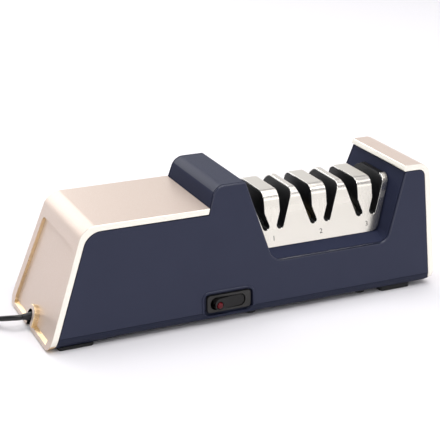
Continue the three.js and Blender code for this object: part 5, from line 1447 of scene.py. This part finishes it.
@dataclass
class EndCovers:
    """The champagne covers: one over the slanted end and the shoulder, one over the tower."""

    rim: float = 0.55
    pocket_margin: float = 7.4
    pocket_bottom: float = 5.0
    pocket_top: float = 63.1
    pocket_depth: float = 2.2
    pocket_radius: float = 3.0
    ledge_run: float = 1.6
    outlet_half_width: float = 7.8
    outlet_rise: float = 15.2
    outlet_proud: float = 1.4
    outlet_hole: float = 4.6
    cord_height: float = 8.3
    cap_overhang: float = 1.95
    cap_edge: float = 1.3

    def build(self) -> None:
        """Makes both covers."""
        self._left()
        self._right()

    def _along_end(self, corners: Sequence[Corner], start: float, end: float) -> Shape:
        """Runs an outline square to the slanted end.

        Args:
            corners: the outline as (Y, height, fillet radius).
            start: how far inside the end the run starts.
            end: how far inside the end it stops.

        Returns:
            The closed shape.
        """
        slant = math.hypot(1, FORM.end.slope)
        raised = [(corner[0], corner[1] * slant, *corner[2:]) for corner in corners]
        shape = Shape.prism(raised, Axis.UP_Z, start, end)
        across = Vector((0, 1, 0))
        up = Vector((FORM.end.slope, 0, 1)).normalized()
        inwards = across.cross(up)
        turn = Matrix((across, up, inwards)).transposed().to_4x4()
        place = Matrix.Translation((FORM.end.at(0), 0, 0)) @ turn
        bmesh.ops.transform(shape.mesh, matrix=place, verts=list(shape.mesh.verts))
        return shape.closed()

    def _left(self) -> None:
        """Makes the left cover with its pocket and the cord's outlet."""
        wall = FORM.cover_wall
        inner = FORM.shoulder_height - wall
        wide = 2 * FORM.floor_half_width
        shape = Shape.prism([
            (FORM.end.at(FORM.cover_bottom), FORM.cover_bottom),
            (FORM.end.at(FORM.cover_bottom, wall), FORM.cover_bottom),
            (FORM.end.at(inner, wall), inner, FORM.shoulder_radius),
            (FORM.hump.at(inner) - SEAT_GAP, inner),
            (FORM.hump.at(FORM.shoulder_height) - SEAT_GAP, FORM.shoulder_height),
            (FORM.end.at(FORM.shoulder_height), FORM.shoulder_height, FORM.shoulder_radius),
        ], Axis.ALONG_Y, -wide, wide)
        shape.combined(Join.KEEP, FORM.rounded_section())
        shape.softened(self.rim, 3, FORM.on_side)
        low, high = (FORM.half_width(z) - self.pocket_margin for z in (self.pocket_bottom, self.pocket_top))
        pocket = self._along_end([
            (-low, self.pocket_bottom, self.pocket_radius), (low, self.pocket_bottom, self.pocket_radius),
            (high, self.pocket_top, self.pocket_radius), (-high, self.pocket_top, self.pocket_radius),
        ], -OVERRUN, self.pocket_depth)
        half = self.outlet_half_width
        foot = self.pocket_bottom - self.ledge_run - SEAT_GAP
        outlet = self._along_end([
            (-half, foot), (half, foot),
            (half, self.outlet_rise, half * 0.95), (-half, self.outlet_rise, half * 0.95),
        ], -self.outlet_proud, wall - SEAT_GAP)
        outlet.softened(0.7, 3, lambda edge: middle_of(edge).z > self.pocket_bottom)
        shape.combined(Join.CUT, pocket, self._ledge(low - self.pocket_radius / 2))
        shape.combined(Join.ADD, outlet)
        left = FORM.end.at(0) - 2 * OVERRUN
        bore = Shape.turned([
            (0, left), (self.outlet_hole, left), (self.outlet_hole, left + 50), (0, left + 50),
        ], Axis.ALONG_X, (0, 0, self.cord_height), 32)
        slot = Shape.block(
            (left, -self.outlet_hole, -OVERRUN), (left + 50, self.outlet_hole, self.cord_height))
        shape.combined(Join.CUT, bore, slot)
        # Edges of the front and back take the pale finish: a polished edge with a painted highlight
        piece = shape.to_object("left_cover", [CHAMPAGNE_LACQUER, POLISHED_EDGE_AND_HIGHLIGHT, GILT_WALL, GUIDE_NYLON],
                                [self._is_polished_and_highlit_side, self._is_pocket_wall, self._is_shaded_outlet_lining])
        settle(piece, "root", ["left_end_cover"])

    def _ledge(self, half: float) -> Shape:
        """Gives the sloping ledge along the foot of the pocket.

        Args:
            half: half its length.

        Returns:
            The wedge, to be cut out.
        """
        low = self.pocket_bottom - self.ledge_run
        wedge = self._along_end([
            (-half, low), (half, low), (half, self.pocket_bottom + 1), (-half, self.pocket_bottom + 1),
        ], -OVERRUN, self.pocket_depth)
        slope = FORM.end.slope
        up = Vector((slope, 0, 1)).normalized()
        inwards = Vector((1, 0, -slope)).normalized()
        rim = Vector((FORM.end.at(low), 0, low))
        return wedge.sliced(rim, inwards * self.ledge_run - up * self.pocket_depth)

    def _is_polished_and_highlit_side(self, face: bpy.types.MeshPolygon) -> bool:
        """Whether a face is the cover's edge in the leaning front or back: a polished edge, painted pale as a
        painted highlight.
        """
        on_skin = FORM.depth_in_side(face.center.y, face.center.z) < 0.6
        return on_skin and abs(face.normal.y) > 0.35 and abs(face.normal.x) < 0.8

    def _is_pocket_wall(self, face: bpy.types.MeshPolygon) -> bool:
        """Whether a face is the wall of the pocket or of the cord's outlet.

        Args:
            face: the face to test.

        Returns:
            True for such a face.
        """
        normal = Vector((-1, 0, FORM.end.slope)).normalized()
        depth = (face.center - Vector((FORM.end.at(0), 0, 0))).dot(-normal)
        across = abs(face.normal.dot(normal))
        inside = abs(face.center.y) < FORM.half_width(face.center.z) - 2
        return -1.3 < depth < 2.15 and across < 0.78 and inside and face.center.z < 66

    def _is_shaded_outlet_lining(self, face: bpy.types.MeshPolygon) -> bool:
        """Whether a face lines the cord's way out, painted black as painted shade in the hole.

        Args:
            face: the face to test.

        Returns:
            True for such a face.
        """
        # The black nylon finish on these faces of the cover is painted shade in the hole
        across, height = abs(face.center.y), face.center.z
        inside = across < self.outlet_hole + 0.05 and height < self.cord_height + self.outlet_hole
        return inside and abs(face.normal.x) < 0.2 and face.center.x < FORM.end.at(0) + 15

    def _is_highlit_cap_edge(self, face: bpy.types.MeshPolygon) -> bool:
        """Whether a face is the cap's edge in its sides, a polished edge painted pale as a painted highlight,
        or its face above the valley, painted pale as a painted reflection.
        """
        high = face.center.z > FORM.tower_height - FORM.cap_wall - 0.5
        return self._is_polished_and_highlit_side(face) or (high and face.normal.x < -0.5)

    def _right(self) -> None:
        """Makes the cap over the tower and the right end."""
        wall = FORM.cap_wall
        inner = FORM.tower_height - wall
        wide = 2 * FORM.floor_half_width
        shape = Shape.prism([
            (FORM.valley_right.at(inner, -self.cap_overhang), inner, self.cap_edge),
            (FORM.valley_right.at(FORM.tower_height, -self.cap_overhang), FORM.tower_height, 1.0),
            (FORM.right.at(FORM.tower_height), FORM.tower_height, FORM.tower_radius),
            (FORM.right.at(FORM.base_bottom), FORM.base_bottom, FORM.skirt_radius),
            (FORM.right.at(FORM.base_bottom, wall), FORM.base_bottom),
            (FORM.right.at(inner, wall), inner, FORM.tower_radius - wall),
        ], Axis.ALONG_Y, -wide, wide)
        shape.combined(Join.KEEP, FORM.rounded_section())
        shape.sliced((0, 0, FORM.cap_bottom), (0, 0, -1))
        shape.softened(self.rim, 3, FORM.on_side)
        # The pale finish gives the cap's edges a painted highlight and its face above the valley a painted
        # reflection
        piece = shape.to_object("right_cover", [CHAMPAGNE_LACQUER, POLISHED_EDGE_AND_HIGHLIGHT], [self._is_highlit_cap_edge])
        settle(piece, "root", ["right_end_cap"])


@dataclass
class KnifeHead:
    """The brushed steel cover with its slots, the black guides inside and the plain numbers."""

    height: float = 76.5
    half_top: float = 13.1
    bend_radius: float = 7.6
    crisp_angle: float = math.radians(12)
    lean: float = 0.1944
    foot: float = 39.7
    sheet: float = 1.0
    end_gap: float = 1.0
    corner_radius: float = 6.0
    stages: Sequence[float] = (23.8, 59.2, 94.6)
    names: Sequence[str] = ("coarse", "fine", "polishing")
    pitch: float = 35.4
    slot_bottom: float = 51.3
    slot_radius: float = 2.6
    slot_offset: float = 5.3
    slot_slope: float = 0.344
    throat: float = 5.6
    guide_lip: float = 0.25
    guide_gap: float = 0.2
    cup_space: float = 20.3
    cup_space_half: float = 8.7
    groove_radius: float = 4.5
    end_block_run: float = 14.0
    spindle_height: float = 40.0
    number_height: float = 3.4
    number_level: float = 45.4

    def build(self) -> None:
        """Makes the cover, the guides and the numbers."""
        self._cover()
        for index, name in enumerate(self.names):
            self._guide(index, name)
            self._number(index)

    def _face_y(self, height: float, inset: float = 0.0) -> float:
        """How far the leaning face stands from the middle at a height, inside by an inset.

        Args:
            height: the height, as a Z.
            inset: how far inside the sheet's outer face.

        Returns:
            The distance from the middle.
        """
        angle = math.atan(self.lean)
        bend_y = self.half_top + self.bend_radius * math.cos(angle)
        bend_z = self.height - self.bend_radius + self.bend_radius * math.sin(angle)
        return bend_y + (bend_z - height) * self.lean - inset * math.hypot(1, self.lean)

    def _section(self, inset: float, foot: float) -> list[Corner]:
        """Gives the head's section from the end.

        Args:
            inset: how far inside the sheet's outer face it lies.
            foot: the height of its lower edge.

        Returns:
            The corners with their fillets.
        """
        top = self.height - inset
        radius = self.bend_radius - inset
        return [
            (-self._face_y(foot, inset), foot), (self._face_y(foot, inset), foot),
            (self._face_y(top, inset), top, radius), (-self._face_y(top, inset), top, radius),
        ]

    def _span(self, inset: float, foot: float) -> Shape:
        """Gives the part of the valley that the head fills.

        Args:
            inset: the gap to the valley's walls.
            foot: the height of its lower edge.

        Returns:
            A shape with rounded lower corners.
        """
        top = self.height + OVERRUN
        wide = 2 * FORM.floor_half_width
        return Shape.prism([
            (FORM.valley_left.at(foot, -inset), foot, self.corner_radius),
            (FORM.valley_right.at(foot, -inset), foot, self.corner_radius),
            (FORM.valley_right.at(top, -inset), top), (FORM.valley_left.at(top, -inset), top),
        ], Axis.ALONG_Y, -wide, wide)

    def _slots(self, middle: float, narrower: float) -> list[Shape]:
        """Gives the pair of slots of one stage.

        Args:
            middle: the stage's middle.
            narrower: how much narrower the slots are on each side.

        Returns:
            The two slots, run from front to back.
        """
        radius = self.slot_radius - narrower
        low = self.slot_bottom + self.slot_radius
        slant = math.hypot(1, self.slot_slope)
        throat = self.throat + narrower
        throat_height = low + (throat - self.slot_offset + radius * slant) / self.slot_slope
        top = self.height + OVERRUN
        outer = self.slot_offset + (top - low) * self.slot_slope + radius * slant
        corners = []
        for across in (-1, 1):
            corners.append((
                self.slot_offset + (across - self.slot_slope) * radius / slant,
                low - (1 + across * self.slot_slope) * radius / slant, radius * 0.95,
            ))
        corners += [(outer, top), (throat, top), (throat, throat_height)]
        wide = 2 * FORM.floor_half_width
        return [
            Shape.prism([(middle + way * c[0], *c[1:]) for c in corners], Axis.ALONG_Y, -wide, wide)
            for way in (-1, 1)
        ]

    def _cover(self) -> None:
        """Makes the bent steel cover."""
        skin = Shape.prism(self._section(0, self.foot), Axis.ALONG_X, 0, FORM.length)
        skin.combined(Join.CUT, Shape.prism(
            self._section(self.sheet, self.foot - OVERRUN), Axis.ALONG_X, -OVERRUN, FORM.length + OVERRUN))
        skin.combined(Join.KEEP, self._span(self.end_gap, self.foot))
        for middle in self.stages:
            skin.combined(Join.CUT, *self._slots(middle, 0))
        skin.combined(Join.CUT, self._end_block(0.0, self.height + OVERRUN), self._end_notch())
        skin.softened(0.16, 2)
        piece = skin.to_object("steel_cover", [BRUSHED_STEEL, DEBURRED_STEEL], [self._is_cut_edge],
                               self.crisp_angle)
        settle(piece, "root", ["steel_head_cover"])

    def _end_block(self, inset: float, top: float) -> Shape:
        """Gives the flat part of the top past the last slot, where the guide comes through.

        Args:
            inset: how far inside the opening in the sheet it lies.
            top: the height of its upper face.

        Returns:
            The closed block.
        """
        left = self.stages[-1] + self.end_block_run
        half = self.half_top - inset
        low = self.height - self.sheet - 2 * SEAT_GAP
        return Shape.block((left + inset, -half, low), (FORM.length, half, top))

    def _end_notch(self) -> Shape:
        """The part of the sheet's rear bend that is cut away past the last slot.

        Returns:
            The block to cut out.
        """
        left = self.stages[-1] + self.end_block_run
        return Shape.block((left, 0, self.height - self.bend_radius * 0.8),
                           (FORM.length, FORM.floor_half_width, self.height + OVERRUN))

    def _is_cut_edge(self, face: bpy.types.MeshPolygon) -> bool:
        """Whether a face is a cut edge of the sheet."""
        return abs(face.normal.x) > 0.3

    def _guide(self, index: int, name: str) -> None:
        """Makes the guide of one stage.

        Args:
            index: which stage it is, from the left.
            name: the stage's name.
        """
        middle = self.stages[index]
        half = self.pitch / 2 - self.guide_gap
        low = 0.0 if index == 0 else middle - half
        high = FORM.length if index == len(self.stages) - 1 else middle + half
        inset = self.sheet + SEAT_GAP
        body = Shape.prism(self._section(inset, self.foot), Axis.ALONG_X, low, high)
        if index == len(self.stages) - 1:
            body.combined(Join.ADD, self._end_block(SEAT_GAP, self.height - SEAT_GAP / 2))
        body.combined(Join.KEEP, self._span(self.end_gap + SEAT_GAP, self.foot))
        body.combined(Join.CUT, *self._slots(middle, self.guide_lip))
        space = Shape.turned([
            (0, -self.cup_space_half), (self.cup_space, -self.cup_space_half),
            (self.cup_space, self.cup_space_half), (0, self.cup_space_half),
        ], Axis.ALONG_X, (middle, 0, self.spindle_height), 48)
        groove = Shape.turned([
            (0, -OVERRUN), (self.groove_radius, -OVERRUN),
            (self.groove_radius, FORM.length), (0, FORM.length),
        ], Axis.ALONG_X, (0, 0, self.spindle_height), 24)
        body.combined(Join.CUT, space, groove).softened(0.3, 2)
        piece = body.to_object(f"{name}_guide_block", [GUIDE_NYLON])
        settle(piece, "root", [f"{name}_knife_guide"])

    def _number(self, index: int) -> None:
        """Prints one stage's number on the sheet under its slots.

        Args:
            index: which stage it is, from the left.
        """
        data = bpy.data.curves.new("number", "FONT")
        data.body = str(index + 1)
        data.size = self.number_height * 1.4
        data.align_x = "CENTER"
        data.align_y = "CENTER"
        data.extrude = 0.012
        scratch = bpy.data.objects.new("number", data)
        bpy.context.scene.collection.objects.link(scratch)
        graph = bpy.context.evaluated_depsgraph_get()
        mesh = bpy.data.meshes.new_from_object(scratch.evaluated_get(graph))
        bpy.data.objects.remove(scratch)
        bpy.data.curves.remove(data)
        stand = math.pi / 2 - math.atan(self.lean)
        level = self.number_level
        place = Matrix.Translation((self.stages[index], -self._face_y(level) - 0.03, level))
        mesh.transform(Matrix.Scale(MM, 4) @ place @ Matrix.Rotation(stand, 4, "X"))
        mesh.materials.clear()
        mesh.materials.append(PRINT_INK.material())
        piece = bpy.data.objects.new(f"stage_number_{index + 1}", mesh)
        bpy.context.scene.collection.objects.link(piece)
        settle(piece, "root")


@dataclass
class RockerSwitch:
    """The rocker switch in its recess: bezel, rocker and red lens."""

    x: float = -17.3
    z: float = 14.0
    bezel_length: float = 31.0
    bezel_height: float = 11.8
    bezel_radius: float = 2.2
    margin: float = 1.8
    rim_width: float = 1.4
    rim_proud: float = 0.7
    bezel_shift: float = 0.8
    face_slope: float = 3.0
    bezel_back: float = -40.413
    bezel_front: float = -42.713
    body_length: float = 27.6
    body_height: float = 10.6
    body_depth: float = 17.0
    pivot_y: float = -38.513
    rocker_radius: float = 12.4
    end_inset: float = 1.2
    rocker_height: float = 7.8
    rocker_proud: float = 0.5
    rocker_depth: float = 2.5
    back_share: float = 0.72
    tilt: float = 9.0
    well_depth: float = 5.0
    lens_radius: float = 2.2
    lens_offset: float = 7.4
    lens_drop: float = 0.8
    lens_height: float = 1.2
    lens_proud: float = 1.1

    def build(self) -> None:
        """Makes the switch's pieces."""
        self._bezel()
        self._rocker()
        self._lens()

    def _rounded(self, length: float, height: float, radius: float, low: float, high: float) -> Shape:
        """Makes a block with round corners, seen from the front, about the switch's middle.

        Args:
            length: its length along X.
            height: its height.
            radius: the radius of its corners.
            low: its front, in Y.
            high: its back, in Y.

        Returns:
            The closed block.
        """
        half, rise = length / 2, height / 2
        corners = [(self.x + across * half, self.z + up * rise, radius)
                   for across, up in ((-1, -1), (1, -1), (1, 1), (-1, 1))]
        return Shape.prism(corners, Axis.ALONG_Y, low, high)

    def recess(self) -> Shape:
        """The shallow recess round the bezel.

        Returns:
            The closed block, to be cut out.
        """
        return self._rounded(
            self.bezel_length + 2 * self.margin, self.bezel_height + 2 * self.margin,
            self.bezel_radius + self.margin, -FORM.floor_half_width - OVERRUN, self.bezel_back)

    def hole(self) -> Shape:
        """The hole for the switch's body.

        Returns:
            The block to cut out.
        """
        half = self.body_length / 2 + SEAT_GAP
        rise = self.body_height / 2 + SEAT_GAP
        return Shape.block((self.x - half, -FORM.floor_half_width - OVERRUN, self.z - rise),
                           (self.x + half, self.bezel_back + FORM.shell_wall + OVERRUN, self.z + rise))

    def panel(self, bottom: float) -> Shape:
        """The wall behind the recess.

        Args:
            bottom: the height of its lower edge.

        Returns:
            The closed panel, inside the front wall.
        """
        half = self.bezel_length / 2 + self.margin + FORM.shell_wall
        top = self.z + self.bezel_height / 2 + self.margin + FORM.shell_wall
        return FORM.between_sides(Shape.block(
            (self.x - half, -FORM.floor_half_width, bottom),
            (self.x + half, self.bezel_back + FORM.shell_wall, top)), FORM.shell_wall / 2)

    def rim(self) -> Shape:
        """The low rim round the recess, a little proud of the housing's front.

        Returns:
            The closed ring.
        """
        around = 2 * (self.margin + self.rim_width)
        ring = self._rounded(
            self.bezel_length + around, self.bezel_height + around, self.bezel_radius + around / 2,
            -2 * FORM.floor_half_width, self.bezel_back)
        ring.sliced((0, 0, FORM.housing_bottom + 0.05), (0, 0, -1))
        return FORM.between_sides(ring, -self.rim_proud)

    def is_rim_edge(self, edge: bmesh.types.BMEdge) -> bool:
        """Whether an edge runs along the rim's crest.

        Args:
            edge: the edge to test.

        Returns:
            True for such an edge.
        """
        return all(
            v.co.y < 0 and v.co.z > FORM.housing_bottom + 0.1
            and abs(FORM.depth_in_side(v.co.y, v.co.z) + self.rim_proud) < 0.1
            for v in edge.verts)

    def is_rim_face(self, face: bpy.types.MeshPolygon) -> bool:
        """Whether a face of the rim looks up, which is taken as glossier.

        Args:
            face: the face to test.

        Returns:
            True for such a face.
        """
        place = face.center
        around = abs(place.x - self.x) < self.bezel_length / 2 + self.margin + self.rim_width + 0.1
        above = place.z > self.z and face.normal.z > 0.4
        return around and above and place.y < 0 and FORM.depth_in_side(place.y, place.z) < -0.01

    def _bezel(self) -> None:
        """Makes the bezel with the body behind it."""
        back = self.bezel_back - SEAT_GAP
        front = self.bezel_front
        bezel = self._rounded(self.bezel_length, self.bezel_height, self.bezel_radius, front, back)
        bmesh.ops.translate(bezel.mesh, verts=list(bezel.mesh.verts), vec=(self.bezel_shift, 0, 0))
        bezel.softened(0.5, 3, lambda edge: middle_of(edge).y < front + 0.1)
        half, rise = self.body_length / 2, self.body_height / 2
        bezel.combined(Join.ADD, Shape.block((self.x - half, back - 1, self.z - rise),
                                             (self.x + half, back + self.body_depth, self.z + rise)))
        well_height = self.rocker_height + 2 * SEAT_GAP
        well_length = 2 * (self.rocker_radius - self.end_inset + 1.15)
        well = self._rounded(well_length, well_height, well_height * 0.46,
                             front - OVERRUN, self.pivot_y + self.well_depth)
        bezel.combined(Join.CUT, well)
        bezel.softened(0.3, 2, lambda edge: abs(middle_of(edge).y - front) < 0.05)
        piece = bezel.to_object("switch_bezel", [BEZEL_NYLON])
        settle(piece, "root", ["switch_housing"])

    def _face_at(self, offset: float) -> float:
        """Y of the untilted rocker's face at a distance from its middle."""
        slope = math.tan(math.radians(self.face_slope))
        return self.bezel_front - self.rocker_proud - abs(offset) * slope

    def _rocker(self) -> None:
        """Makes the rocker, pressed in at its right end."""
        half = self.rocker_radius
        back = self.pivot_y + self.rocker_depth
        low, high = self.z - self.rocker_height, self.z + self.rocker_height
        rocker = Shape.prism([
            (self.x - half, self._face_at(half)), (self.x - half * self.back_share, back),
            (self.x + half * self.back_share, back), (self.x + half, self._face_at(half)),
            (self.x, self._face_at(0), 6.0),
        ], Axis.UP_Z, low, high)
        ends = Shape.turned([(0, low), (half, low), (half, high), (0, high)],
                            Axis.UP_Z, (self.x, self.pivot_y, 0), 64)
        outline = self._rounded(2 * (half - self.end_inset), self.rocker_height, self.rocker_height * 0.46,
                                -2 * FORM.floor_half_width, 2 * FORM.floor_half_width)
        rocker.combined(Join.KEEP, ends, outline)
        seat_back = self._face_at(self.lens_offset) + self.lens_height + SEAT_GAP
        seat = Shape.turned([
            (0, -FORM.length), (self.lens_radius + SEAT_GAP, -FORM.length),
            (self.lens_radius + SEAT_GAP, 0), (0, 0),
        ], Axis.ALONG_Y, (self.x - self.lens_offset, seat_back, self.z - self.lens_drop), 32)
        rocker.combined(Join.CUT, seat)
        rocker.softened(0.35, 3, lambda edge: middle_of(edge).y < self.pivot_y)
        rocker.turned_about((self.x, self.pivot_y, 0), math.radians(self.tilt))
        piece = rocker.to_object("rocker_button", [SWITCH_NYLON])
        settle(piece, "rocker", ["switch_rocker"])

    def _lens(self) -> None:
        """Makes the domed lens in the rocker's outer end."""
        face = self._face_at(self.lens_offset)
        radius = self.lens_radius
        proud = self.lens_proud
        profile = [
            (0, -proud), (radius * 0.3, -proud * 0.96), (radius * 0.55, -proud * 0.84),
            (radius * 0.77, -proud * 0.62), (radius * 0.93, -proud * 0.33), (radius, 0.05),
            (radius, self.lens_height), (0, self.lens_height),
        ]
        middle = (self.x - self.lens_offset, face, self.z - self.lens_drop)
        lens = Shape.turned(profile, Axis.ALONG_Y, middle, 32)
        lens.turned_about((self.x, self.pivot_y, 0), math.radians(self.tilt))
        piece = lens.to_object("red_lens_dome", [RED_ACRYLIC])
        settle(piece, "rocker", ["switch_lens"])


@dataclass
class FilingsDrawer:
    """The drawer that slides out at the back."""

    middle: float = 59.2
    length: float = 78.0
    depth: float = 66.0
    clearance: float = 0.4
    top: float = 17.0
    bottom: float = 6.3

    def way_out(self) -> Shape:
        """The room that the drawer slides in.

        Returns:
            The block to cut out.
        """
        front = FORM.half_width(self.top) - self.depth - self.clearance
        half = self.length / 2 + self.clearance
        return Shape.block((self.middle - half, front, self.bottom),
                           (self.middle + half, 2 * FORM.floor_half_width, self.top + self.clearance))

    def build(self, frame: dict[str, Any]) -> None:
        """Makes the drawer from its CAD shape, with eased edges.

        Args:
            frame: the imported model.
        """
        shape = Shape.of_node(frame["nodes"]["filings_drawer"]).softened(0.25, 2)
        piece = shape.to_object("drawer_tray", [DARK_NAVY_ABS])
        settle(piece, "drawer", ["filings_drawer"])


@dataclass
class Underside:
    """The base tray, its feet and its screws."""

    tray_edge: float = 0.25
    long_feet: Sequence[str] = ("front_left", "rear_left", "front_right", "rear_right")
    round_feet: Sequence[str] = ("front_1", "rear_1", "front_2", "rear_2")
    sole_rim: float = 1.5
    sole_depth: float = 0.4

    def build(self, frame: dict[str, Any]) -> None:
        """Makes the tray and what is under it.

        Args:
            frame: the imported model.
        """
        tray = Shape.of_node(frame["nodes"]["base_tray"]).softened(self.tray_edge, 1, FORM.on_side)
        piece = tray.to_object("base_shell", [DARK_NAVY_ABS])
        settle(piece, "root", ["base_tray"])
        for place in self.long_feet:
            self._long_foot(place)
        for place in self.round_feet:
            self._round_foot(place)
        for place in self.long_feet:
            self._screw(place)

    def _long_foot(self, place: str) -> None:
        """Makes one long foot with a sole that is dished inside its rim.

        Args:
            place: which foot it is.
        """
        node = f"foot_{place}"
        low, high = (Vector(corner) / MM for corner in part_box(node))
        shape = Shape.prism([
            (low.x, low.y, 2), (high.x, low.y, 2), (high.x, high.y, 2), (low.x, high.y, 2),
        ], Axis.UP_Z, low.z, high.z)
        sole = Shape.block((low.x + self.sole_rim, low.y + self.sole_rim, -1),
                           (high.x - self.sole_rim, high.y - self.sole_rim, self.sole_depth))
        shape.combined(Join.CUT, sole).softened(0.2, 1)
        piece = shape.to_object(f"rubber_foot_{place}", [FOOT_RUBBER])
        settle(piece, "root", [node])

    def _round_foot(self, place: str) -> None:
        """Makes one round foot with a dished sole.

        Args:
            place: which foot it is.
        """
        node = f"round_foot_{place}"
        low, high = (Vector(corner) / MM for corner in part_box(node))
        middle = (low + high) / 2
        radius = (high.x - low.x) / 2
        profile = [(0, 0.4), (radius * 0.55, 0.4), (radius * 0.65, 0), (radius * 0.88, 0), (radius, 0.4),
                   (radius, high.z), (0, high.z)]
        shape = Shape.turned(profile, Axis.UP_Z, (middle.x, middle.y, 0), 32)
        piece = shape.to_object(f"rubber_{node}", [FOOT_RUBBER])
        settle(piece, "root", [node])

    def _screw(self, place: str) -> None:
        """Makes one screw with a cross recess in its head.

        Args:
            place: which screw it is.
        """
        node = f"base_screw_{place}"
        low, high = (Vector(corner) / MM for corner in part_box(node))
        middle = (low + high) / 2
        x, y = middle.x, middle.y
        shape = Shape.turned([
            (0, low.z), (2.2, low.z), (3.0, low.z + 0.5), (3.0, low.z + 1.2), (1.5, low.z + 1.2),
            (1.5, high.z - 1.5), (0.4, high.z), (0, high.z),
        ], Axis.UP_Z, (x, y, 0), 24)
        cross = [
            Shape.block((x - a, y - b, low.z - 1), (x + a, y + b, low.z + 0.8))
            for a, b in ((1.5, 0.35), (0.35, 1.5))
        ]
        shape.combined(Join.CUT, *cross)
        piece = shape.to_object(f"cross_screw_{place}", [BLACK_SCREW])
        settle(piece, "root", [node])


@dataclass
class InnerWorks:
    """The drive inside: CAD shapes that stay, dressed in their own finishes."""

    finishes: dict[str, Finish] = field(default_factory=lambda: {
        "spindle": GROUND_STEEL,
        "left_bearing": GROUND_STEEL,
        "right_bearing": GROUND_STEEL,
        "left_bearing_bracket": ZINC_PLATE,
        "right_bearing_bracket": ZINC_PLATE,
        "motor_can": ZINC_PLATE,
        "motor_end_bell": ZINC_PLATE,
        "motor_armature": ARMATURE_LACQUER,
        "cooling_fan": GUIDE_NYLON,
        "shaft_coupling": GUIDE_NYLON,
        "motor_cradle": GUIDE_NYLON,
        "motor_strap": ZINC_PLATE,
        "cord_clamp": GUIDE_NYLON,
        "rectifier_board": BOARD_LAMINATE,
    })
    grits: dict[str, Finish] = field(default_factory=lambda: {
        "coarse": COARSE_GRIT,
        "fine": FINE_GRIT,
        "polishing": POLISHING_GRIT,
    })

    def dress(self, frame: dict[str, Any]) -> None:
        """Gives each inner node its finish.

        Args:
            frame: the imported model.
        """
        chosen = dict(self.finishes)
        for name, grit in self.grits.items():
            chosen[f"{name}_cup_left"] = grit
            chosen[f"{name}_cup_right"] = grit
            chosen[f"{name}_cup_spring"] = SPRING_WIRE
        for name, finish in chosen.items():
            node = frame["nodes"][name]
            if not node.material_slots:
                node.data.materials.append(None)
            for place in node.material_slots:
                place.material = finish.material()
            LOG.info("%s keeps its shape in %s", name, finish.name)


def corners_of_all() -> list[list[float]]:
    """The whole object's box as plain lists of numbers."""
    return [[float(value) for value in corner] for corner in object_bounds()]


def main(frame: dict[str, Any], cad_box: list[list[float]]) -> None:
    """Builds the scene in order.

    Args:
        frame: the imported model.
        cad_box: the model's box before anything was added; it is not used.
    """
    logging.basicConfig(level=logging.INFO, format="%(message)s")
    Studio().build()
    CordSet().build()
    switch = RockerSwitch()
    drawer = FilingsDrawer()
    Housing().build(switch, drawer)
    EndCovers().build()
    KnifeHead().build()
    switch.build()
    drawer.build(frame)
    Underside().build(frame)
    InnerWorks().dress(frame)


if __name__ == "__main__":
    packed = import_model()
    main(packed, corners_of_all())
